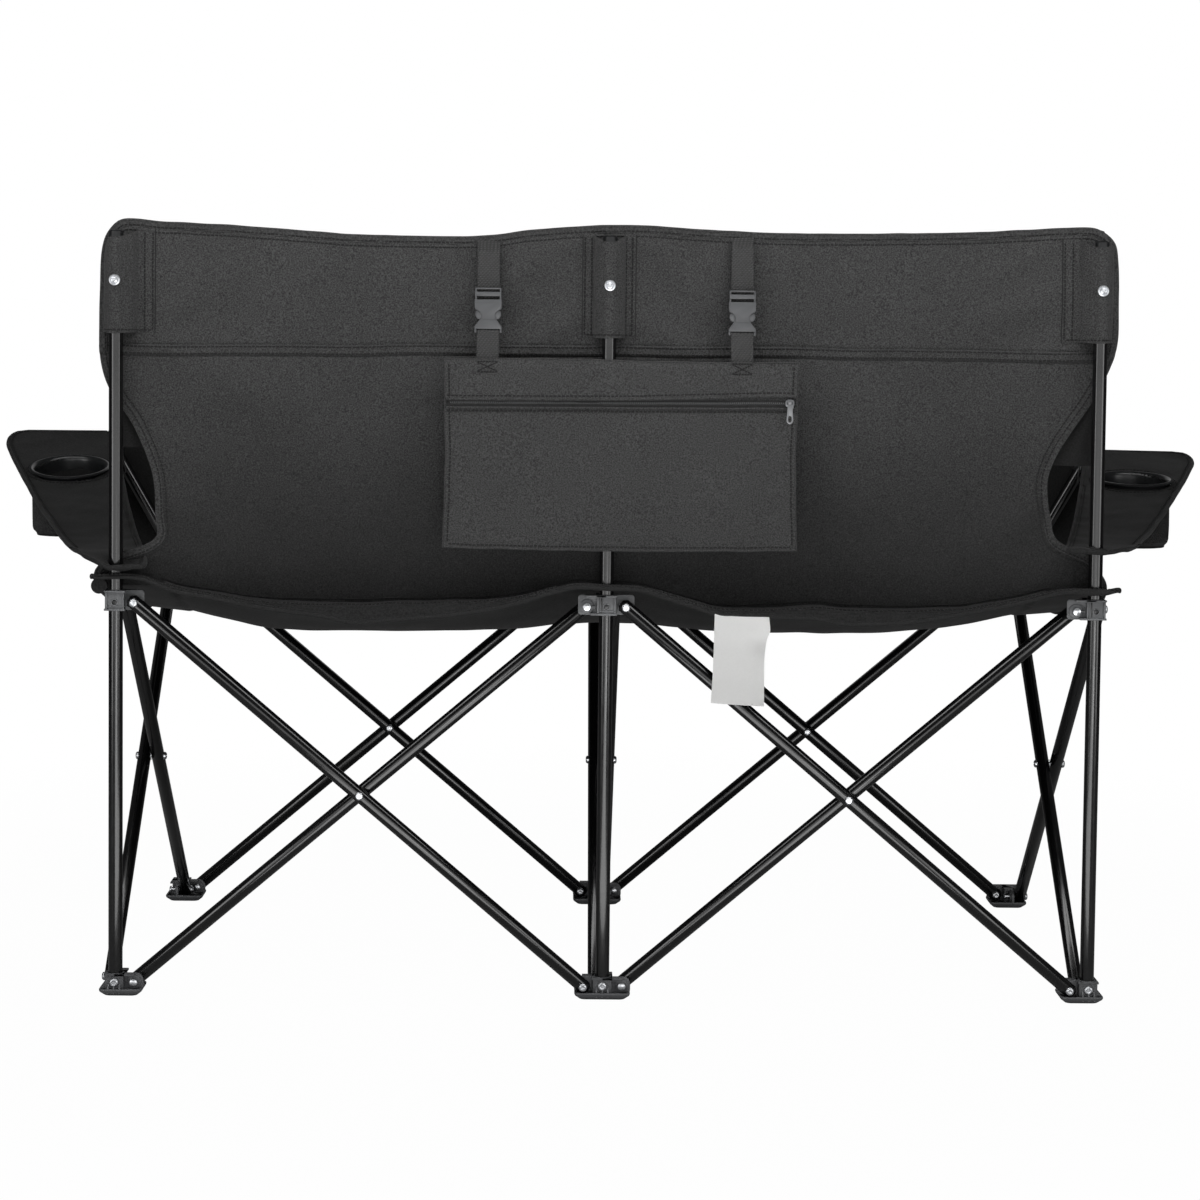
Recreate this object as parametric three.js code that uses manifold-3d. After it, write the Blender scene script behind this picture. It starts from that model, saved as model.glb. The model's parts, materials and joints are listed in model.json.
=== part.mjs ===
// A two-seat folding camping chair: six feet and six hubs joined by seven scissor pairs of steel struts,
// with a fabric seat, back and two arm rests hung on it. Millimetres, +Z up, the sitter faces -Y,
// and the origin lies on the ground under the middle of the chair. The sitter's left is +X.

import * as THREE from 'three';
import { mergeVertices } from 'three/addons/utils/BufferGeometryUtils.js';
import Module from 'manifold-3d';

const wasm = await Module();
wasm.setup();

// Frame: the whole size of the chair follows these
const postSpacing = 554;
const footPivotHeight = 15;
const hubPivotHeight = 448;
const pivotInset = 22;
const postTop = 866;
const tubeDiameter = 16;
const tubeWall = 1.2;
const tubeSides = 12;
const strutOverhang = 7.5;
const strutTipRadius = 5;
const strutTipLength = 4;
const strutPlug = 5;
const runningGap = 0.3;
const cutOverrun = 1;

const tubeRadius = tubeDiameter / 2;
const strutOffset = tubeRadius + runningGap;
const strutRun = postSpacing - 2 * pivotInset;
const strutRise = hubPivotHeight - footPivotHeight;
const strutLength = Math.hypot(strutRun, strutRise);
const rowDistance = postSpacing / 2;

// Rivets, screws and the studs of the back
const rivetHeadRadius = 4.8;
const rivetHeadHeight = 2.8;
const rivetShankRadius = 2.6;
const rivetHoleRadius = 3.1;
const rivetSides = 8;
const screwHeadRadius = 5;
const screwHeadHeight = 2.4;
const studHeadRadius = 7;
const studHeadHeight = 3;
const studBelowTop = 56;
const studHeight = postTop - studBelowTop;
const headSeat = 0.6;
const domeShares = [[1, 0], [0.74, 0.74], [0, 1]];

// Hub and foot mouldings
const blockHalf = 10.5;
const blockCornerRadius = 2;
const blockCornerSteps = 1;
const earReach = 32;
const earCornerRadius = 4;
const earBelowPivot = 9.5;
const earAbovePivot = 11.3;
const ribThickness = 2;
const ribProud = 1.2;
const boreClearance = 0.5;
const socketClearance = 0.35;
const grooveWidth = 1.2;
const grooveDepth = 1;
const grooveSpacing = 3;
const grooveHeight = 12;
const coreRoof = 4;

const footSkirtReach = 17.5;
const footSkirtHeight = 8.5;
const footFloor = 3.5;
const footWall = 2.2;
const footTopAbovePivot = 9.5;
const footCornerRadius = 7;
const footCornerSteps = 2;
const footHeelInset = 7;
const footHeelShares = [[0, 1], [0.45, 0.3], [1, 0]];

// Arm posts lean outward from the front corner hubs
const armPostLean = THREE.MathUtils.degToRad(29.6);
const armPostRootDrop = 8;
const armPostStart = 7;
const armPostClearance = 2.5;
const armSocketStart = 4.5;
const armSocketEnd = 32;
const armCapHeight = 4;
const armCapRadius = 9;

// Seat sling
const seatThickness = 4;
const seatOverReach = 24.6;
const seatEndReach = 18;
const seatHemSag = 35;
const seatMiddleSag = 72;
const seatSideEase = 22;
const seatSagPower = 1.3;
const seatHemFade = 0.7;
const seatSideCurve = 25;
const seatColumns = 24;
const seatRows = 6;
const clothClearance = 0.5;
const seatRest = 1.1;
const eyeletRadius = tubeRadius + clothClearance;
const eyeletSides = 16;

// Back panel
const backThickness = 3;
const backHemLift = 2.5;
const backTop = 880;
const backTopDip = 12;
const backEdgeSteps = 20;
const sleeveBottom = 751;
const sleeveRoof = 3;
const sleeveCloth = 2.2;
const sleeveInner = 38;
const sleeveOuter = 20;
const sleeveMiddle = 29;
const sleeveShoulder = 11;
// The side edge from the seat up to the top corner: shares of the post spacing outward, and of the back's height
const backSideShares = [
	[-0.004, 0.004],
	[-0.03, 0.03],
	[-0.062, 0.062],
	[-0.073, 0.1],
	[-0.079, 0.17],
	[-0.064, 0.34],
	[-0.022, 0.46],
	[0.008, 0.5],
	[0.03, 0.565],
	[0.038, 0.67],
	[0.037, 0.85],
	[0.033, 0.955]
];

// Arm rests with their cup holders
const armThickness = 3;
const armFrontRise = 169;
const armRearRise = 51;
const armFrontHeight = hubPivotHeight + armFrontRise;
const armRearHeight = hubPivotHeight + armRearRise;
const armFrontInner = 93;
const armFrontOuter = 243;
const armRearInner = 37;
const armRearOuter = 26;
const armFall = 1.75;
const armColumns = 5;
const armEndReach = 23;
const armRows = 12;
const armCornerShare = 0.16;
const armPocketDepth = 14;
const armPocketCloth = 2;
const tongueThickness = 2;
const tongueFootInner = 4;
const tongueFootOuter = 54;
const tongueTopInner = 71;
const tongueTopOuter = 136;
const cupFromPost = 128;
const cupFromFront = 140;
const cupHoleRadius = 46.3;
const cupRimRadius = 51.5;
const cupNeckRadius = 45.5;
const cupInnerRadius = 42.5;
const cupRimHeight = 3.4;
const cupRimEdge = 2.2;
const cupRimEase = 2.5;
const cupSides = 20;
const cupRimLift = 0.9;
const cupNeckDepth = cupRimLift + armThickness;
const pocketWall = 1.6;
const pocketDepth = 80;
const pocketBaseRadius = 45.5;

// Storage bag on the back
const bagWidth = 400;
const bagBottom = 512;
const bagTop = 727;
const bagShift = -13;
const bagThickness = 7;
const bagEdge = 2.5;
const bagCornerRadius = 12;
const bagCornerSteps = 4;
const bagEdgeSteps = 2;
const zipHeight = 678;
const zipInset = 7;
const sliderLength = 10;
const sliderHeight = 9;
const sliderThickness = 3;
const bridgeWidth = 3;
const bridgeHalfSpan = 3.5;
const bridgeBar = 1.2;
const bridgeTop = 6.4;
const pullThickness = 1.4;
const pullArmWidth = 1.2;
const pullArmLength = 5;
const pullLength = 23;
const pullEdge = 1.5;
const pullSlotShare = 0.35;
const stopWidth = 3;
const stopHeight = 7;
const stopThickness = 1.8;

// Two straps with side-release buckles
const strapPlace = 143;
const strapShift = - 6.5;
const strapWidth = 25;
const strapThickness = 1.6;
const strapTop = 858;
const strapTuck = 9;
const buckleTop = 806;
const buckleWidth = 32;
const buckleThickness = 8.5;
const buckleWall = 1.6;
const socketLength = 38;
const ladderLength = 12;
const ladderSlot = 5;
const windowHeight = 14;
const windowDepth = 4;
const windowLift = 7;
const clipBaseLength = 10;
const clipPlay = 0.4;
const prongWidth = 4;
const prongGap = 3;
const prongReach = 20;
const guideWidth = 5;
const clipSlot = 3.2;
const lowerStrapTuck = 16;

// Care tag under the seat's rear hem
const tagWidth = 64;
const tagLength = 106;
const tagThickness = 1.2;
const tagPlace = -153;
const tagDrop = 1.5;

// Colours and finishes
const finishes = {
	powderCoatedSteel: { color: 0x1d1e20, roughness: 0.42, metalness: 0.6 },
	moulding: { color: 0x38393b, roughness: 0.6, metalness: 0 },
	zincPlate: { color: 0xc9cbce, roughness: 0.3, metalness: 0.9 },
	seatCloth: { color: 0x17181a, roughness: 0.95, metalness: 0 },
	backCloth: { color: 0x303134, roughness: 0.95, metalness: 0 },
	mesh: { color: 0x101113, roughness: 0.9, metalness: 0 },
	webbing: { color: 0x161719, roughness: 0.9, metalness: 0 },
	acetal: { color: 0x0f1012, roughness: 0.4, metalness: 0 },
	tagCloth: { color: 0xf2f2ef, roughness: 0.9, metalness: 0 }
};

const materials = {};
for ( const [ finish, look ] of Object.entries( finishes ) ) {

	materials[ finish ] = new THREE.MeshStandardMaterial( { name: finish, ...look } );

}

// Solids: every geometry is merged, turned outward and handed over as a manifold
function mergedGeometry( geometry ) {

	const plain = geometry.clone();
	for ( const attribute of Object.keys( plain.attributes ) ) {

		if ( attribute !== 'position' ) plain.deleteAttribute( attribute );

	}

	return mergeVertices( plain );

}

function signedVolume( positions, indices ) {

	const [ a, b, c ] = [ new THREE.Vector3(), new THREE.Vector3(), new THREE.Vector3() ];
	let volume = 0;
	for ( let i = 0; i < indices.length; i += 3 ) {

		a.fromArray( positions, 3 * indices[ i ] );
		b.fromArray( positions, 3 * indices[ i + 1 ] );
		c.fromArray( positions, 3 * indices[ i + 2 ] );
		volume += a.dot( b.cross( c ) );

	}

	return volume;

}

function solidOf( geometry ) {

	const merged = mergedGeometry( geometry );
	const vertProperties = new Float32Array( merged.attributes.position.array );
	const triVerts = new Uint32Array( merged.index.array );
	if ( signedVolume( vertProperties, triVerts ) < 0 ) triVerts.reverse();
	return new wasm.Manifold( new wasm.Mesh( { numProp: 3, vertProperties, triVerts } ) );

}

function geometryOf( solid ) {

	const { vertProperties, triVerts } = solid.getMesh();
	const geometry = new THREE.BufferGeometry();
	geometry.setAttribute( 'position', new THREE.BufferAttribute( new Float32Array( vertProperties ), 3 ) );
	geometry.setIndex( new THREE.BufferAttribute( new Uint32Array( triVerts ), 1 ) );
	geometry.computeVertexNormals();
	return geometry;

}

function joined( ...solids ) {

	return solids.reduce( ( whole, next ) => whole.add( next ) );

}

// A revolved profile of [radius, height] pairs, standing on +Z
function revolved( profile, sides ) {

	const points = profile.map( ( [ radius, height ] ) => new THREE.Vector2( radius, height ) );
	return new THREE.LatheGeometry( points, sides ).rotateX( Math.PI / 2 );

}

function rod( radius, start, end, sides ) {

	return revolved( [ [ 0, start ], [ radius, start ], [ radius, end ], [ 0, end ] ], sides );

}

function pipe( outer, inner, start, end, sides ) {

	return revolved( [ [ outer, start ], [ outer, end ], [ inner, end ], [ inner, start ], [ outer, start ] ], sides );

}

// A box between two corners
function block( low, high ) {

	const size = high.map( ( value, axis ) => value - low[ axis ] );
	const middle = high.map( ( value, axis ) => ( value + low[ axis ] ) / 2 );
	return new THREE.BoxGeometry( ...size ).translate( ...middle );

}

function roundedRectangle( left, right, bottom, top, radius, steps ) {

	const corners = [
		[ right - radius, top - radius, 0 ],
		[ left + radius, top - radius, 1 ],
		[ left + radius, bottom + radius, 2 ],
		[ right - radius, bottom + radius, 3 ]
	];
	const points = [];
	for ( const [ x, y, quarter ] of corners ) {

		for ( let step = 0; step <= steps; step ++ ) {

			const angle = ( quarter + step / steps ) * Math.PI / 2;
			points.push( new THREE.Vector2( x + radius * Math.cos( angle ), y + radius * Math.sin( angle ) ) );

		}

	}

	return points;

}

// An outline in X and Y, raised from one height to another
function prism( outline, bottom, top ) {

	const shape = new THREE.Shape( outline );
	return new THREE.ExtrudeGeometry( shape, { depth: top - bottom, bevelEnabled: false } ).translate( 0, 0, bottom );

}

// A prism whose outline is given in X and Z, and whose depth runs along Y from front to rear
function upright( outline, front, rear ) {

	return prism( outline, - rear, - front ).rotateX( Math.PI / 2 );

}

// A skin through closed outlines with equal counts of points, closed at both ends
function loft( sections ) {

	const count = sections[ 0 ].outline.length;
	const positions = sections.flatMap( ( { outline, height } ) => outline.flatMap( ( p ) => [ p.x, p.y, height ] ) );
	const indices = [];
	for ( let ring = 0; ring + 1 < sections.length; ring ++ ) {

		for ( let i = 0; i < count; i ++ ) {

			const [ a, b ] = [ ring * count + i, ring * count + ( i + 1 ) % count ];
			indices.push( a, b, a + count, b, b + count, a + count );

		}

	}

	const last = ( sections.length - 1 ) * count;
	for ( let i = 1; i + 1 < count; i ++ ) {

		indices.push( 0, i + 1, i, last, last + i, last + i + 1 );

	}

	const geometry = new THREE.BufferGeometry();
	geometry.setAttribute( 'position', new THREE.Float32BufferAttribute( positions, 3 ) );
	geometry.setIndex( indices );
	return geometry;

}

// A sheet of cloth: a grid of points on its lower face, and the same grid raised by its thickness
function sheet( columns, rows, pointAt, thickness ) {

	const positions = [];
	for ( const lift of [ 0, thickness ] ) {

		for ( let row = 0; row <= rows; row ++ ) {

			for ( let column = 0; column <= columns; column ++ ) {

				const [ x, y, z ] = pointAt( column / columns, row / rows );
				positions.push( x, y, z + lift );

			}

		}

	}

	const across = columns + 1;
	const upper = across * ( rows + 1 );
	const indices = [];
	const quad = ( a, b, c, d ) => indices.push( a, b, c, a, c, d );
	for ( let row = 0; row < rows; row ++ ) {

		for ( let column = 0; column < columns; column ++ ) {

			const a = row * across + column;
			quad( a, a + across, a + across + 1, a + 1 );
			quad( upper + a, upper + a + 1, upper + a + across + 1, upper + a + across );

		}

	}

	for ( let column = 0; column < columns; column ++ ) {

		const far = rows * across + column;
		quad( column, column + 1, upper + column + 1, upper + column );
		quad( far + 1, far, upper + far, upper + far + 1 );

	}

	for ( let row = 0; row < rows; row ++ ) {

		const near = row * across;
		const end = near + columns;
		quad( near + across, near, upper + near, upper + near + across );
		quad( end, end + across, upper + end + across, upper + end );

	}

	const geometry = new THREE.BufferGeometry();
	geometry.setAttribute( 'position', new THREE.Float32BufferAttribute( positions, 3 ) );
	geometry.setIndex( indices );
	return geometry;

}

const chair = new THREE.Group();
chair.name = 'camping_loveseat';

function addPiece( name, geometry, finish, parent = chair ) {

	const piece = new THREE.Mesh( geometry, materials[ finish ] );
	piece.name = name;
	parent.add( piece );
	return piece;

}

// The plan: three columns of posts, and a rear and a front row
const columnPlaces = { left: 1, centre: 0, right: - 1 };
const rowPlaces = { rear: 1, front: - 1 };

function stationPlace( { column, row } ) {

	return new THREE.Vector2( columnPlaces[ column ] * postSpacing, rowPlaces[ row ] * rowDistance );

}

const stations = Object.keys( rowPlaces ).flatMap( ( row ) => Object.keys( columnPlaces ).map( ( column ) => ( { row, column } ) ) );

// Each scissor pair: one strut rises from the foot at "from" to the hub at "to", on one side of the
// plane that the pair folds in, and the other falls from the hub at "from" to the foot at "to"
const scissors = [
	{ name: 'rear_left', from: { column: 'centre', row: 'rear' }, to: { column: 'left', row: 'rear' }, risingSide: 1 },
	{ name: 'rear_right', from: { column: 'centre', row: 'rear' }, to: { column: 'right', row: 'rear' }, risingSide: - 1 },
	{ name: 'front_left', from: { column: 'centre', row: 'front' }, to: { column: 'left', row: 'front' }, risingSide: 1 },
	{ name: 'front_right', from: { column: 'centre', row: 'front' }, to: { column: 'right', row: 'front' }, risingSide: - 1 },
	{ name: 'side_left', from: { column: 'left', row: 'rear' }, to: { column: 'left', row: 'front' }, risingSide: 1 },
	{ name: 'side_centre', from: { column: 'centre', row: 'rear' }, to: { column: 'centre', row: 'front' }, risingSide: 1 },
	{ name: 'side_right', from: { column: 'right', row: 'rear' }, to: { column: 'right', row: 'front' }, risingSide: 1 }
];

// The direction that a scissor runs in, and the side that its struts are set off to
function scissorAxes( { from, to } ) {

	const along = stationPlace( to ).sub( stationPlace( from ) ).normalize();
	const across = new THREE.Vector2( Math.abs( along.y ), Math.abs( along.x ) );
	return { along, across };

}

// A fastener along +Z: a shank with a domed head beyond each end that has one
function fastener( shankRadius, headRadius, headHeight, start, end, headAtStart ) {

	const dome = domeShares.map( ( [ wide, high ] ) => [ headRadius * wide, end + headHeight * high ] );
	const foot = headAtStart
		? domeShares.toReversed().map( ( [ wide, high ] ) => [ headRadius * wide, start - headHeight * high ] )
		: [ [ 0, start ] ];
	return revolved( [ ...foot, [ shankRadius, start ], [ shankRadius, end ], ...dome ], rivetSides );

}

// Struts: a tube along X with closed ends, a rivet through each end and a hole for the crossing rivet.
// The strut's own +Y side faces the ears of its hub and foot.
function strutGeometry() {

	const half = strutLength / 2 + strutOverhang;
	const hollow = strutLength / 2 - strutPlug;
	const shoulder = half - strutTipLength;
	const profile = [
		[ 0, - half ], [ strutTipRadius, - half ], [ tubeRadius, - shoulder ],
		[ tubeRadius, shoulder ], [ strutTipRadius, half ], [ 0, half ]
	];
	const bore = rod( tubeRadius - tubeWall, - hollow, hollow, tubeSides ).rotateY( Math.PI / 2 );
	const outerSeat = tubeRadius - headSeat;
	const earFace = strutOffset + blockHalf + runningGap;
	let strut = solidOf( revolved( profile, tubeSides ).rotateY( Math.PI / 2 ) ).subtract( solidOf( bore ) );
	for ( const end of [ - 1, 1 ] ) {

		const rivet = fastener( rivetShankRadius, rivetHeadRadius, rivetHeadHeight, - outerSeat, earFace, true );
		strut = strut.add( solidOf( rivet.rotateX( - Math.PI / 2 ).translate( end * strutLength / 2, 0, 0 ) ) );

	}

	const reach = tubeRadius + cutOverrun;
	const hole = rod( rivetHoleRadius, - reach, reach, rivetSides ).rotateX( - Math.PI / 2 );
	return geometryOf( strut.subtract( solidOf( hole ) ) );

}

function crossingRivetGeometry() {

	const reach = strutOffset + tubeRadius + runningGap;
	return geometryOf( solidOf( fastener( rivetShankRadius, rivetHeadRadius, rivetHeadHeight, - reach, reach, true ) ) );

}

function buildScissors() {

	const strut = strutGeometry();
	const crossingRivet = crossingRivetGeometry();
	const tilt = Math.atan2( strutRise, strutRun );
	for ( const scissor of scissors ) {

		const { along, across } = scissorAxes( scissor );
		const middle = stationPlace( scissor.from ).add( stationPlace( scissor.to ) ).divideScalar( 2 );
		const pair = new THREE.Group();
		pair.position.set( middle.x, middle.y, ( footPivotHeight + hubPivotHeight ) / 2 );
		chair.add( pair );
		for ( const [ role, slope ] of [ [ 'rising', 1 ], [ 'falling', - 1 ] ] ) {

			const side = scissor.risingSide * slope;
			const length = new THREE.Vector3( along.x * Math.cos( tilt ), along.y * Math.cos( tilt ), slope * Math.sin( tilt ) );
			const inward = new THREE.Vector3( across.x, across.y, 0 ).multiplyScalar( - side );
			const upward = new THREE.Vector3().crossVectors( length, inward );
			const piece = addPiece( `${ scissor.name }_${ role }_strut`, strut, 'powderCoatedSteel', pair );
			piece.position.copy( inward ).multiplyScalar( - strutOffset );
			piece.quaternion.setFromRotationMatrix( new THREE.Matrix4().makeBasis( length, inward, upward ) );

		}

		const rivet = addPiece( `${ scissor.name }_crossing_rivet`, crossingRivet, 'zincPlate', pair );
		rivet.quaternion.setFromUnitVectors( new THREE.Vector3( 0, 0, 1 ), new THREE.Vector3( across.x, across.y, 0 ) );

	}

}

// The ears of one hub or foot: the direction each points in, and the side of its plane that it fills
function earsOf( station, isHub ) {

	const same = ( other ) => other.column === station.column && other.row === station.row;
	const ears = [];
	for ( const scissor of scissors ) {

		const { along, across } = scissorAxes( scissor );
		const strutSide = scissor.risingSide * ( isHub ? - 1 : 1 );
		if ( same( scissor.from ) ) ears.push( { along: along.clone(), across, side: - strutSide } );
		if ( same( scissor.to ) ) ears.push( { along: along.clone().negate(), across, side: strutSide } );

	}

	return ears;

}

// A box laid along an ear: from and to count along it, inner and outer across it, toward its own side
function earBox( { along, across, side }, from, to, inner, outer, bottom, top ) {

	const a = along.clone().multiplyScalar( from ).addScaledVector( across, side * inner );
	const b = along.clone().multiplyScalar( to ).addScaledVector( across, side * outer );
	const low = [ Math.min( a.x, b.x ), Math.min( a.y, b.y ), bottom ];
	const high = [ Math.max( a.x, b.x ), Math.max( a.y, b.y ), top ];
	return solidOf( block( low, high ) );

}

// The plate of an ear, with its outer corners rounded, standing on one side of the scissor's plane
function earPlate( ear, bottom, top ) {

	const outline = roundedRectangle( - earReach, earReach, bottom, top, earCornerRadius, blockCornerSteps );
	const plate = upright( outline, 0, blockHalf );
	const turn = Math.atan2( ear.along.y, ear.along.x );
	const leftOfAlong = new THREE.Vector2( - ear.along.y, ear.along.x );
	if ( leftOfAlong.dot( ear.across ) * ear.side < 0 ) plate.translate( 0, - blockHalf, 0 );
	const whole = solidOf( plate.rotateZ( turn ) );
	return whole.intersect( earBox( ear, 0, earReach + cutOverrun, 0, blockHalf + cutOverrun, bottom, top ) );

}

function rivetHole( { along, across }, height ) {

	const reach = earReach + cutOverrun;
	const hole = rod( rivetHoleRadius, - reach, reach, rivetSides );
	hole.applyQuaternion( new THREE.Quaternion().setFromUnitVectors(
		new THREE.Vector3( 0, 0, 1 ), new THREE.Vector3( across.x, across.y, 0 ) ) );
	return solidOf( hole.translate( along.x * pivotInset, along.y * pivotInset, height ) );

}

// Grooves moulded beside the post in the face of an ear
function earGrooves( ear, middle ) {

	const face = blockHalf + cutOverrun;
	const [ bottom, top ] = [ middle - grooveHeight / 2, middle + grooveHeight / 2 ];
	return [ 1, 2 ].map( ( place ) => earBox(
		ear, place * grooveSpacing, place * grooveSpacing + grooveWidth, blockHalf - grooveDepth, face, bottom, top ) );

}

function squareBlock( half, bottom, top ) {

	return solidOf( prism( roundedRectangle( - half, half, - half, half, blockCornerRadius, blockCornerSteps ), bottom, top ) );

}

// The body shared by every hub, with its pivots at height 0
function hubBody( ears ) {

	const bottom = - earBelowPivot;
	const top = earAbovePivot;
	const roof = top + ribThickness;
	const ribReach = blockHalf + ribProud;
	let body = joined(
		squareBlock( blockHalf, bottom, roof ),
		squareBlock( ribReach, top, roof ),
		squareBlock( ribReach, bottom, bottom + ribThickness )
	);
	for ( const ear of ears ) {

		body = joined(
			body,
			earPlate( ear, bottom, roof ),
			earBox( ear, 0, pivotInset, - ribReach, ribReach, top, roof ),
			earBox( ear, 0, pivotInset, 0, ribReach, bottom, bottom + ribThickness )
		);

	}

	for ( const ear of ears ) {

		body = body.subtract( rivetHole( ear, 0 ) );
		for ( const groove of earGrooves( ear, 0 ) ) body = body.subtract( groove );

	}

	return body;

}

// Rear hubs slide up the posts as the chair folds
function slidingHubGeometry( ears ) {

	const reach = earReach + cutOverrun;
	const bore = rod( tubeRadius + boreClearance, - reach, reach, tubeSides );
	const coreHole = rod( rivetHoleRadius, 0, reach, rivetSides ).rotateX( - Math.PI / 2 );
	return geometryOf( hubBody( ears ).subtract( solidOf( bore ) ).subtract( solidOf( coreHole ) ) );

}

// The front centre hub carries no post, and is cored out from below
function plainHubGeometry( ears ) {

	const core = rod( tubeRadius + boreClearance, - earBelowPivot - cutOverrun, earAbovePivot - coreRoof, tubeSides );
	return geometryOf( hubBody( ears ).subtract( solidOf( core ) ) );

}

// Turns what stands on +Z to an arm post's line, whose root lies under the hub's pivots
function leanToArm( geometry, outward ) {

	return geometry.rotateY( outward * armPostLean ).translate( 0, 0, - armPostRootDrop );

}

function armHubGeometry( ears, outward ) {

	const socket = leanToArm( rod( blockHalf, armSocketStart, armSocketEnd, tubeSides ), outward );
	const boreEnd = armSocketEnd + earReach;
	const bore = leanToArm( rod( tubeRadius + socketClearance, armPostStart - runningGap, boreEnd, tubeSides ), outward );
	return geometryOf( hubBody( ears ).add( solidOf( socket ) ).subtract( solidOf( bore ) ) );

}

// Feet: a skirted tray with a post socket and the ears standing in it
function footOutline( ears, inset ) {

	const reachAlong = ( x, y ) => {

		const hasEar = ears.some( ( { along } ) => Math.round( along.x ) === x && Math.round( along.y ) === y );
		return ( hasEar ? earReach : footSkirtReach ) - inset;

	};
	const radius = footCornerRadius;
	return roundedRectangle( - reachAlong( - 1, 0 ), reachAlong( 1, 0 ), - reachAlong( 0, - 1 ), reachAlong( 0, 1 ), radius, footCornerSteps );

}

function footGeometry( ears ) {

	const top = footPivotHeight + footTopAbovePivot;
	const skirt = ( inset, lift ) => footHeelShares.map( ( [ high, drawnIn ] ) => ( {
		outline: footOutline( ears, inset + footHeelInset * drawnIn ),
		height: lift + ( footSkirtHeight + ( inset ? cutOverrun : 0 ) - lift ) * high
	} ) );
	let body = solidOf( loft( skirt( 0, 0 ) ) ).subtract( solidOf( loft( skirt( footWall, footFloor ) ) ) );
	body = joined( body, squareBlock( blockHalf, 0, top ), squareBlock( blockHalf + ribProud, top - ribThickness, top ) );
	const keelReach = earReach - footHeelInset;
	for ( const ear of ears ) {

		body = joined(
			body,
			earPlate( ear, footFloor / 2, top ),
			earBox( ear, 0, keelReach, 0, blockHalf, 0, footFloor ),
			earBox( ear, 0, pivotInset, 0, blockHalf + ribProud, top - ribThickness, top )
		);

	}

	for ( const ear of ears ) body = body.subtract( rivetHole( ear, footPivotHeight ) );
	const postSocket = rod( tubeRadius + socketClearance, footFloor + runningGap, top + cutOverrun, tubeSides );
	const reach = earReach + cutOverrun;
	const screwHole = rod( rivetHoleRadius, 0, reach, rivetSides ).rotateX( - Math.PI / 2 ).translate( 0, 0, footPivotHeight );
	return geometryOf( body.subtract( solidOf( postSocket ) ).subtract( solidOf( screwHole ) ) );

}

function buildFeetAndHubs() {

	for ( const station of stations ) {

		const place = stationPlace( station );
		const name = `${ station.row }_${ station.column }`;
		const foot = addPiece( `${ name }_foot`, footGeometry( earsOf( station, false ) ), 'moulding' );
		foot.position.set( place.x, place.y, 0 );

		const ears = earsOf( station, true );
		const outward = columnPlaces[ station.column ];
		let hubGeometry = plainHubGeometry;
		if ( station.row === 'rear' ) hubGeometry = slidingHubGeometry;
		else if ( outward !== 0 ) hubGeometry = armHubGeometry;
		const hub = addPiece( `${ name }_hub`, hubGeometry( ears, outward ), 'moulding' );
		hub.position.set( place.x, place.y, hubPivotHeight );

	}

}

// Posts stand in the rear feet; each carries its foot's screw and the stud that holds the back's sleeve
function postGeometry() {

	const bottom = footFloor + 2 * runningGap;
	const wallMiddle = tubeRadius - tubeWall / 2;
	const sleeveFace = tubeRadius + clothClearance + sleeveCloth;
	const tube = solidOf( pipe( tubeRadius, tubeRadius - tubeWall, bottom, postTop, tubeSides ) );
	const screwSeat = blockHalf + runningGap;
	const screw = fastener( rivetShankRadius, screwHeadRadius, screwHeadHeight, wallMiddle, screwSeat, false );
	const stud = fastener( rivetShankRadius, studHeadRadius, studHeadHeight, wallMiddle, sleeveFace + runningGap, false );
	const screwSolid = solidOf( screw.rotateX( - Math.PI / 2 ).translate( 0, 0, footPivotHeight ) );
	const studSolid = solidOf( stud.rotateX( - Math.PI / 2 ).translate( 0, 0, studHeight ) );
	return geometryOf( joined( tube, screwSolid, studSolid ) );

}

// Where the arm post's tube ends along its own line, so that its cap stays just under the arm rest
function armPostEnd() {

	const underside = armHeightAt( - rowDistance ) - armPostClearance - armCapRadius * Math.sin( armPostLean );
	const rise = underside - hubPivotHeight + armPostRootDrop;
	return rise / Math.cos( armPostLean ) - armCapHeight;

}

function armPostGeometry( outward ) {

	const inner = tubeRadius - tubeWall;
	const end = armPostEnd();
	const brim = end + armCapHeight / 2;
	const profile = [
		[ tubeRadius, armPostStart ], [ tubeRadius, end ], [ armCapRadius, end ], [ armCapRadius, brim ],
		[ 0, end + armCapHeight ], [ 0, end ], [ inner, end ], [ inner, armPostStart ], [ tubeRadius, armPostStart ]
	];
	return leanToArm( revolved( profile, tubeSides ), outward );

}

function buildPosts() {

	const post = postGeometry();
	for ( const [ column, place ] of Object.entries( columnPlaces ) ) {

		addPiece( `rear_${ column }_post`, post, 'powderCoatedSteel' ).position.set( place * postSpacing, rowDistance, 0 );
		if ( place === 0 ) continue;
		const armPost = addPiece( `${ column }_arm_post`, geometryOf( solidOf( armPostGeometry( place ) ) ), 'powderCoatedSteel' );
		armPost.position.set( place * postSpacing, - rowDistance, hubPivotHeight );

	}

}

// How far a point lies from the nearest hub, as a share of the free cloth between two hubs: at most a half
function freeShare( distance ) {

	return Math.max( 0, distance - earReach ) / ( postSpacing - 2 * earReach );

}

// 0 over every hub and 1 midway between two, as the cloth dips there
function dipAt( x ) {

	const fromPost = Math.abs( x - postSpacing * Math.round( x / postSpacing ) );
	return ( 1 - Math.cos( 2 * Math.PI * freeShare( fromPost ) ) ) / 2;

}

// The seat's lower face: level over the hubs, sagging between them
const seatHeight = hubPivotHeight + earAbovePivot + ribThickness + seatRest;

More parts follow.
